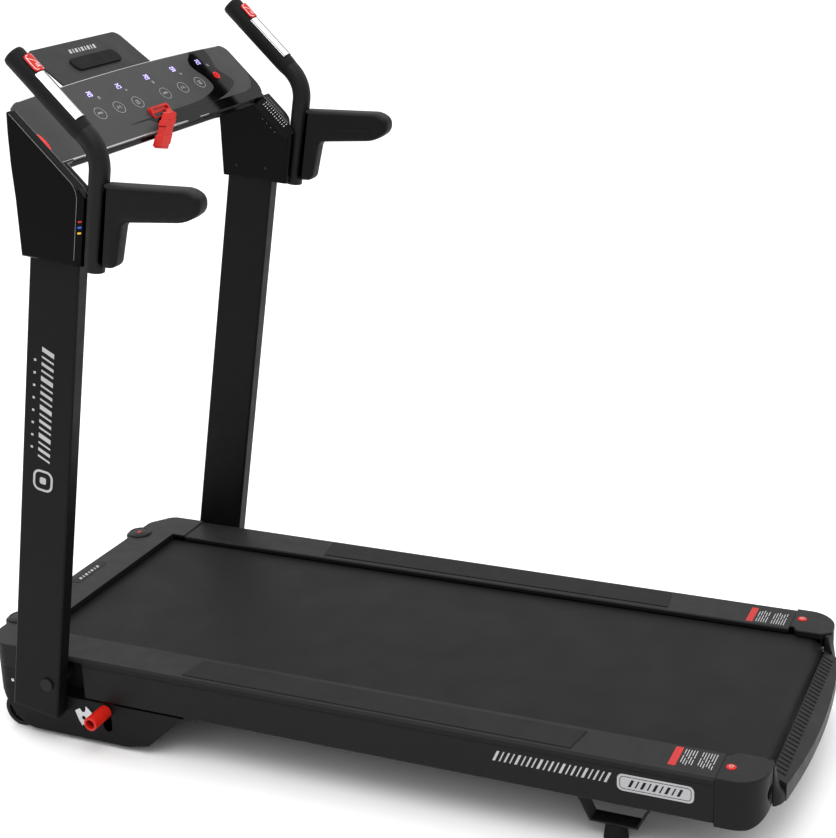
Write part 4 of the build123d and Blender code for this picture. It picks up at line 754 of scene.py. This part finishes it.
def painted_rim_highlights():
    """Painted highlights on the rims, as pale grey rods: one along the outer face, one along the inboard
    edge.
    """
    for name, side in LEFT_RIGHT:
        work = bmesh.new()
        outer = rim_path(RIM_END[name], 892, SHROUD_REAR + 15.0, 2.6, 34)
        rod(work, [Vector((side * OUTER_HIGHLIGHT_X, p.x, p.y)) * MM for p in outer], 0.5 * MM)
        inner = rim_path(RIM_END[name] - 1, 950, SHROUD_REAR, 0.2, CORNER_R)
        rod(work, [Vector((side * INNER_HIGHLIGHT_X, p.x, p.y)) * MM for p in inner[:-1]], 0.7 * MM)
        piece(f"rim_highlights_{name}", work, EDGE_GREY, "mast")


def shroud_vents():
    """Sloping band of each shroud: two rows of bright slats, four dots below, and a painted highlight line
    above.
    """
    for name, side in LEFT_RIGHT:
        band = Place(Vector((side * BAND_X, 384.1, 999.85)) * MM, (0, side, side),
                     (side * 19.5, -11.25, 11.25))
        work = bmesh.new()
        for n in range(12):
            u = side * 7 + (n - 5.5) * SLAT_PITCH
            for v in (8.6, 2.4):
                stroke(work, band, [(u, v - SLAT / 2), (u, v + SLAT / 2)], 0.9, -0.3, 0.35)
        piece(f"band_slats_{name}", work, MATERIALS["silver"], "mast")
        face = Place(Vector((side * 298.5, 393.6, 988.7)) * MM, (0, -side, -side), (0, -1, 1))
        work = bmesh.new()
        for n in range(4):
            knob(work, face.moved((n - 1.5) * DOT_PITCH, 0), 0.9, 0.5, 0.2, sides=12, start=-0.3)
        piece(f"shroud_dots_{name}", work, EDGE_GREY, "mast")
        # painted highlight along the top of the band, as a pale grey rod
        work = bmesh.new()
        rod(work, [Vector((side * 318.6, y, y + RIM)) * MM for y in (364, 380, 400, 411)], 0.7 * MM)
        piece(f"band_highlight_{name}", work, EDGE_GREY, "mast")


STATUS_MARKS = (("red", 953.5, MATERIALS["red_plastic"]), ("blue", 944.5, MARK_BLUE),
                ("yellow", 935.5, MARK_YELLOW))
STATUS_TURN = radians(62)      # where the marks sit on the corner, from straight back
STATUS_R = 16


def status_marks():
    """Three small coloured marks on the rounded rear corner of the left shroud."""
    along = Vector((cos(STATUS_TURN), -sin(STATUS_TURN), 0))
    for mark, z, material in STATUS_MARKS:
        centre = Vector((-329 - STATUS_R * sin(STATUS_TURN),
                         bar_y(z) + 33.5 - STATUS_R * cos(STATUS_TURN), z))
        face = Place(centre * MM, along, (0, -BAR_LEAN, 1))
        work = bmesh.new()
        prism(work, face, oblong(2.9, 1.5, 0.7, 3), -0.9, 0.35)
        piece(f"status_{mark}", work, material, "mast")


# ---------------------------------------------------------------- printed graphics
def slanted_bars(work, place, start, stop, half, widths, gap, slant=0.45):
    """Row of slanted bars along u, from start to stop, with repeating widths."""
    u = start
    n = 0
    while u < stop - 4:
        width = widths[n % len(widths)]
        shift = slant * half
        outline = [(u - shift, -half), (u + width - shift, -half),
                   (u + width + shift, half), (u + shift, half)]
        prism(work, place, outline, SUNK, RAISED)
        u += width + gap
        n += 1


def rail_graphics():
    """Generic bars and a blank rounded plate on the left rail's side."""
    face = Place(Vector((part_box("side_rail_left")[0].x + 0.5 * MM, 0, 0.1335)), (0, -1, 0), (0, 0, 1))
    plate = face.moved(525, -3.5)
    work = bmesh.new()
    slanted_bars(work, face, 266, 452, 9.0, (4.4, 2.4, 3.2, 2.4), 6.0)
    prism(work, plate, oblong(60, 14.5, 9), SUNK, 0.3)
    piece("rail_graphic", work, PRINT_GREY, "base")
    work = bmesh.new()
    stroke(work, plate, oblong(55.5, 10.6, 6), 1.0, 0.2, 0.42, closed=True)
    slanted_bars(work, plate.moved(0, 0, 0.2), -40, 44, 6.4, (4.6, 2.4), 6.0)
    piece("rail_plate_lines", work, MATERIALS["rail_cover"], "base")


LABEL_ROWS = ((-555, 5), (-582, 6))                # first line and number of lines in each block
LABEL_PITCH = 4.3


def rail_labels():
    """Blank red plate and plain lines on each rail, in place of printed notices."""
    for name, side in LEFT_RIGHT:
        face = Place(Vector((0, 0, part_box(f"side_rail_{name}")[1].z)), (1, 0, 0), (0, 1, 0))
        work = bmesh.new()
        prism(work, face, oblong(27.5, 6, 1.5, 4, middle=(side * 256.5, -544)), SUNK, RAISED)
        piece(f"rail_plate_{name}", work, PLATE_RED, "base")
        work = bmesh.new()
        for start, rows in LABEL_ROWS:
            for n in range(rows):
                v = start - n * LABEL_PITCH
                gap = 246 + (n * 7) % 19
                end = 272 + n % 3 * 3
                stroke(work, face, [(side * 232, v), (side * gap, v)], 1.3, SUNK, 0.2)
                stroke(work, face, [(side * (gap + 4), v), (side * end, v)], 1.3, SUNK, 0.2)
        piece(f"rail_lines_{name}", work, PRINT_GREY, "base")


UPRIGHT_LEAN = radians(9.67)
FOLD_AXIS = (552, 121.5)       # (y, z)
GRAPHIC_UP = 523               # middle of the graphic, up the upright from the fold axis


def upright_graphics():
    """Generic bars and a rounded-square mark on the left upright."""
    lean_y, lean_z = sin(UPRIGHT_LEAN), cos(UPRIGHT_LEAN)
    centre = Vector((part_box("upright_left")[0].x / MM, FOLD_AXIS[0] - GRAPHIC_UP * lean_y + 26,
                     FOLD_AXIS[1] + GRAPHIC_UP * lean_z))
    face = Place(centre * MM, (0, lean_y, -lean_z), (0, -lean_z, -lean_y))
    work = bmesh.new()
    slanted_bars(work, face, -100, 100, 11.5, (8, 3.4, 5.5, 3.4), 7.5, slant=0.35)
    slanted_bars(work, face.moved(0, -24), -80, 90, 2.2, (4,), 18, slant=0.0)
    mark = face.moved(132, 0)
    stroke(work, mark, oblong(17, 17, 11), 4.0, SUNK, RAISED, closed=True)
    prism(work, mark, oblong(6, 6, 3), SUNK, RAISED)
    piece("upright_graphic", work, PRINT_GREY, "mast")


FLAP_HINGE = (-15, 516.4, 1120.8)
FLAP_TILT = radians(37)
FLAP_HALF_T = 1.5


def flap_graphic():
    """Generic bars and the rubber pad on the tablet flap."""
    x, y, z = FLAP_HINGE
    origin = Vector((x, y - FLAP_HALF_T * sin(FLAP_TILT), z + FLAP_HALF_T * cos(FLAP_TILT)))
    face = Place(origin * MM, (1, 0, 0), (0, cos(FLAP_TILT), sin(FLAP_TILT)))
    work = bmesh.new()
    slanted_bars(work, face.moved(0, 72), -36, 40, 4.6, (6, 3), 4.4)
    piece("flap_graphic", work, PRINT_GREY, "tablet_flap")
    work = bmesh.new()
    prism(work, face.moved(2, 41), oblong(67.4, 13.9, 11.2), SUNK, 3.5, taper=0.8)
    piece("flap_pad", work, MATERIALS["rubber"], "tablet_flap")


# ---------------------------------------------------------------- hood, rails and rear
HOOD_DISC_X = 0.203
RAIL_DISC = (0.263, -0.631)


def hood_discs():
    """Dark disc with a red patch on each side of the hood."""
    low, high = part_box("hood_caps")
    for name, side in LEFT_RIGHT:
        face = Place((side * HOOD_DISC_X, (low.y + high.y) / 2, high.z), (1, 0, 0), (0, 1, 0))
        work = bmesh.new()
        stroke(work, face, arc(0, 0, 18.6, steps=48), 2.0, -1.0, 0.7, closed=True)
        knob(work, face, 13.5, 0.8, 0.5, start=-0.5, dome=0.5)
        piece(f"hood_disc_{name}", work, MATERIALS["hood_cap"], "base", sharp=50)
        work = bmesh.new()
        prism(work, face.moved(-4, -1), arc(0, 0, 5.5, steps=24, flat=0.5), 0.3, 1.45)
        piece(f"hood_disc_mark_{name}", work, MATERIALS["red_plastic"], "base")


def hood_badge():
    """Glossy badge with generic bars on the hood."""
    badge = Place((0.008, 0.684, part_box("motor_hood")[1].z), (1, 0, 0), (0, 1, 0))
    work = bmesh.new()
    prism(work, badge, oblong(50, 9, 5), SUNK, 0.5)
    piece("hood_badge", work, GLOSS_BLACK, "base")
    work = bmesh.new()
    slanted_bars(work, badge.moved(0, 0, 0.5), -34, 38, 3.6, (6, 3), 5)
    piece("hood_badge_lines", work, PRINT_GREY, "base")


def rail_disc(name, side):
    """Red disc with a plain ring, on the top of a rear cap."""
    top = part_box("rear_cap_left")[1].z
    face = Place((side * RAIL_DISC[0], RAIL_DISC[1], top), (1, 0, 0), (0, 1, 0))
    work = bmesh.new()
    knob(work, face, 8.0, 1.3, 0.9, start=-0.4, dome=0.5)
    piece(f"rail_disc_{name}", work, MATERIALS["red_plastic"], "base", sharp=50)
    work = bmesh.new()
    stroke(work, face, arc(0, 0, 3.0, steps=20), 1.1, 1.2, 2.0, closed=True)
    piece(f"rail_disc_mark_{name}", work, PRINT_GREY, "base")


# plan of the guard's moulded end, at its foot and where it meets the top of the cap
GUARD_END_LOW = ((213.4, -678.6), (220.9, -678.6), (228.0, -689.4), (238, -689.4), (236, -694.5), (227, -701),
                 (213.4, -705.2))
GUARD_END_HIGH = ((214.4, -680), (220.6, -680), (227.9, -689.4), (240, -689.5), (238, -690), (229, -690.8),
                  (215.6, -684))
GUARD_FOOT = 97
GUARD_STRAIGHT = 112           # the end stands upright up to here
GUARD_TOP = 164
GUARD_STEPS = 8


def guard_end(name, side):
    """End of the rear guard, swept up to the cap's rear face."""
    rings = []
    for n in range(GUARD_STEPS + 1):
        z = GUARD_FOOT + (GUARD_TOP - GUARD_FOOT) * n / GUARD_STEPS
        sweep = max(0.0, (z - GUARD_STRAIGHT) / (GUARD_TOP - GUARD_STRAIGHT)) ** 0.7
        ring = [Vector(a).lerp(Vector(b), sweep) for a, b in zip(GUARD_END_LOW, GUARD_END_HIGH)]
        rings.append([Vector((side * q.x, q.y, z)) * MM for q in ring])
    work = bmesh.new()
    skin(work, rings)
    piece(f"guard_end_{name}", work, MATERIALS["cap_plastic"], "base", soften=1.0)


def guard_floor():
    """Floor of the rear guard, which closes the gap behind the belt."""
    ground = Place((0, 0, 0), (1, 0, 0), (0, 1, 0))
    work = bmesh.new()
    prism(work, ground, oblong(213, 13.6, 1.0, 3, middle=(0, -690.4)), GUARD_FOOT, GUARD_FOOT + 1.4)
    piece("guard_floor", work, MATERIALS["cap_plastic"], "base")


def bolt_heads():
    """Bright pin at the guard's right end, and bright bolt head on the belly's left side."""
    peg = Place((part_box("rear_guard")[1].x + 0.0005, -0.688, 0.113), (0, 1, 0), (0, 0, 1))
    work = bmesh.new()
    knob(work, peg, 3.6, 1.6, 0.8, start=-1.5, sides=20)
    piece("guard_peg", work, MATERIALS["silver"], "base", sharp=50)
    bolt = Place((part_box("belly_pan")[0].x, 0.648, 0.0983), (0, -1, 0), (0, 0, 1))
    work = bmesh.new()
    knob(work, bolt, 3.2, 1.2, 0.6, start=-0.5, sides=24)
    piece("belly_bolt", work, MATERIALS["silver"], "base", sharp=50)


def rear_details():
    for name, side in LEFT_RIGHT:
        rail_disc(name, side)
        guard_end(name, side)
    guard_floor()
    bolt_heads()


# ---------------------------------------------------------------- stage, light and camera
def stage():
    """Large pale floor."""
    mesh = bpy.data.meshes.new("floor")
    grid = bmesh.new()
    bmesh.ops.create_grid(grid, x_segments=1, y_segments=1, size=60)
    grid.to_mesh(mesh)
    grid.free()
    floor = bpy.data.objects.new("floor", mesh)
    bpy.context.scene.collection.objects.link(floor)
    mesh.materials.append(surface("floor_paint", (0.93, 0.93, 0.93), 0.9, specular=0.1, mottle=0.01))


def area_light(name, where, towards, size, power):
    light = bpy.data.lights.new(name, "AREA")
    light.shape = "RECTANGLE"
    light.size, light.size_y = size
    light.energy = power
    made = bpy.data.objects.new(name, light)
    made.location = where
    made.rotation_euler = (Vector(towards) - Vector(where)).to_track_quat("-Z", "Y").to_euler()
    bpy.context.scene.collection.objects.link(made)


HORIZON = 0.30                 # strength of the studio's light from the horizon and from overhead
ZENITH = 1.85


def studio():
    """Studio that is brightest overhead, with a soft key, fill and rim. The camera sees it white."""
    world = bpy.data.worlds.new("studio")
    world.use_nodes = True
    tree = world.node_tree
    split = node(tree, "ShaderNodeSeparateXYZ")
    tree.links.new(node(tree, "ShaderNodeTexCoord").outputs["Generated"], split.inputs[0])
    background = tree.nodes["Background"]
    background.inputs["Color"].default_value = (1.0, 1.0, 1.0, 1.0)
    seen = node(tree, "ShaderNodeMix")
    tree.links.new(node(tree, "ShaderNodeLightPath").outputs["Is Camera Ray"], seen.inputs["Factor"])
    tree.links.new(ramp(tree, split.outputs["Z"], HORIZON, ZENITH, 0, 1), seen.inputs["A"])
    seen.inputs["B"].default_value = 1.0
    tree.links.new(seen.outputs["Result"], background.inputs["Strength"])
    bpy.context.scene.world = world
    area_light("key", (-2.2, -1.2, 4.2), (0, 0, 0.4), (2.2, 2.2), 55)
    area_light("fill", (3.2, -2.4, 2.6), (0, 0, 0.6), (2.2, 2.2), 16)
    area_light("rim", (0.6, 3.8, 3.4), (0, 0.2, 0.5), (3.0, 1.6), 40)


CAMERA_AT = (-2.4897, -1.1234, 1.5367)
CAMERA_AZIMUTH = radians(-66.206)
CAMERA_TILT = radians(19.775)
CAMERA_ROLL = radians(-1.845)


def camera():
    view = Vector((-sin(CAMERA_AZIMUTH) * cos(CAMERA_TILT), cos(CAMERA_AZIMUTH) * cos(CAMERA_TILT),
                   -sin(CAMERA_TILT)))
    turn = view.to_track_quat("-Z", "Y").to_matrix() @ Matrix.Rotation(CAMERA_ROLL, 3, "Z")
    lens = bpy.data.cameras.new("camera")
    lens.lens = 73.67
    lens.sensor_width = 36
    lens.shift_x = -0.0036
    lens.shift_y = 0.0030
    lens.clip_end = 200
    made = bpy.data.objects.new("camera", lens)
    made.matrix_world = Matrix.Translation(CAMERA_AT) @ turn.to_4x4()
    bpy.context.scene.collection.objects.link(made)
    bpy.context.scene.camera = made


armrests()
grips()
glossy_inlay()
display_digits()
display_marks()
start_ring()
side_red_glow()
console_trim_and_highlight()
painted_rim_highlights()
shroud_vents()
status_marks()
rail_graphics()
rail_labels()
upright_graphics()
flap_graphic()
hood_discs()
hood_badge()
rear_details()
stage()
studio()
camera()
bpy.context.scene.view_settings.view_transform = "Standard"
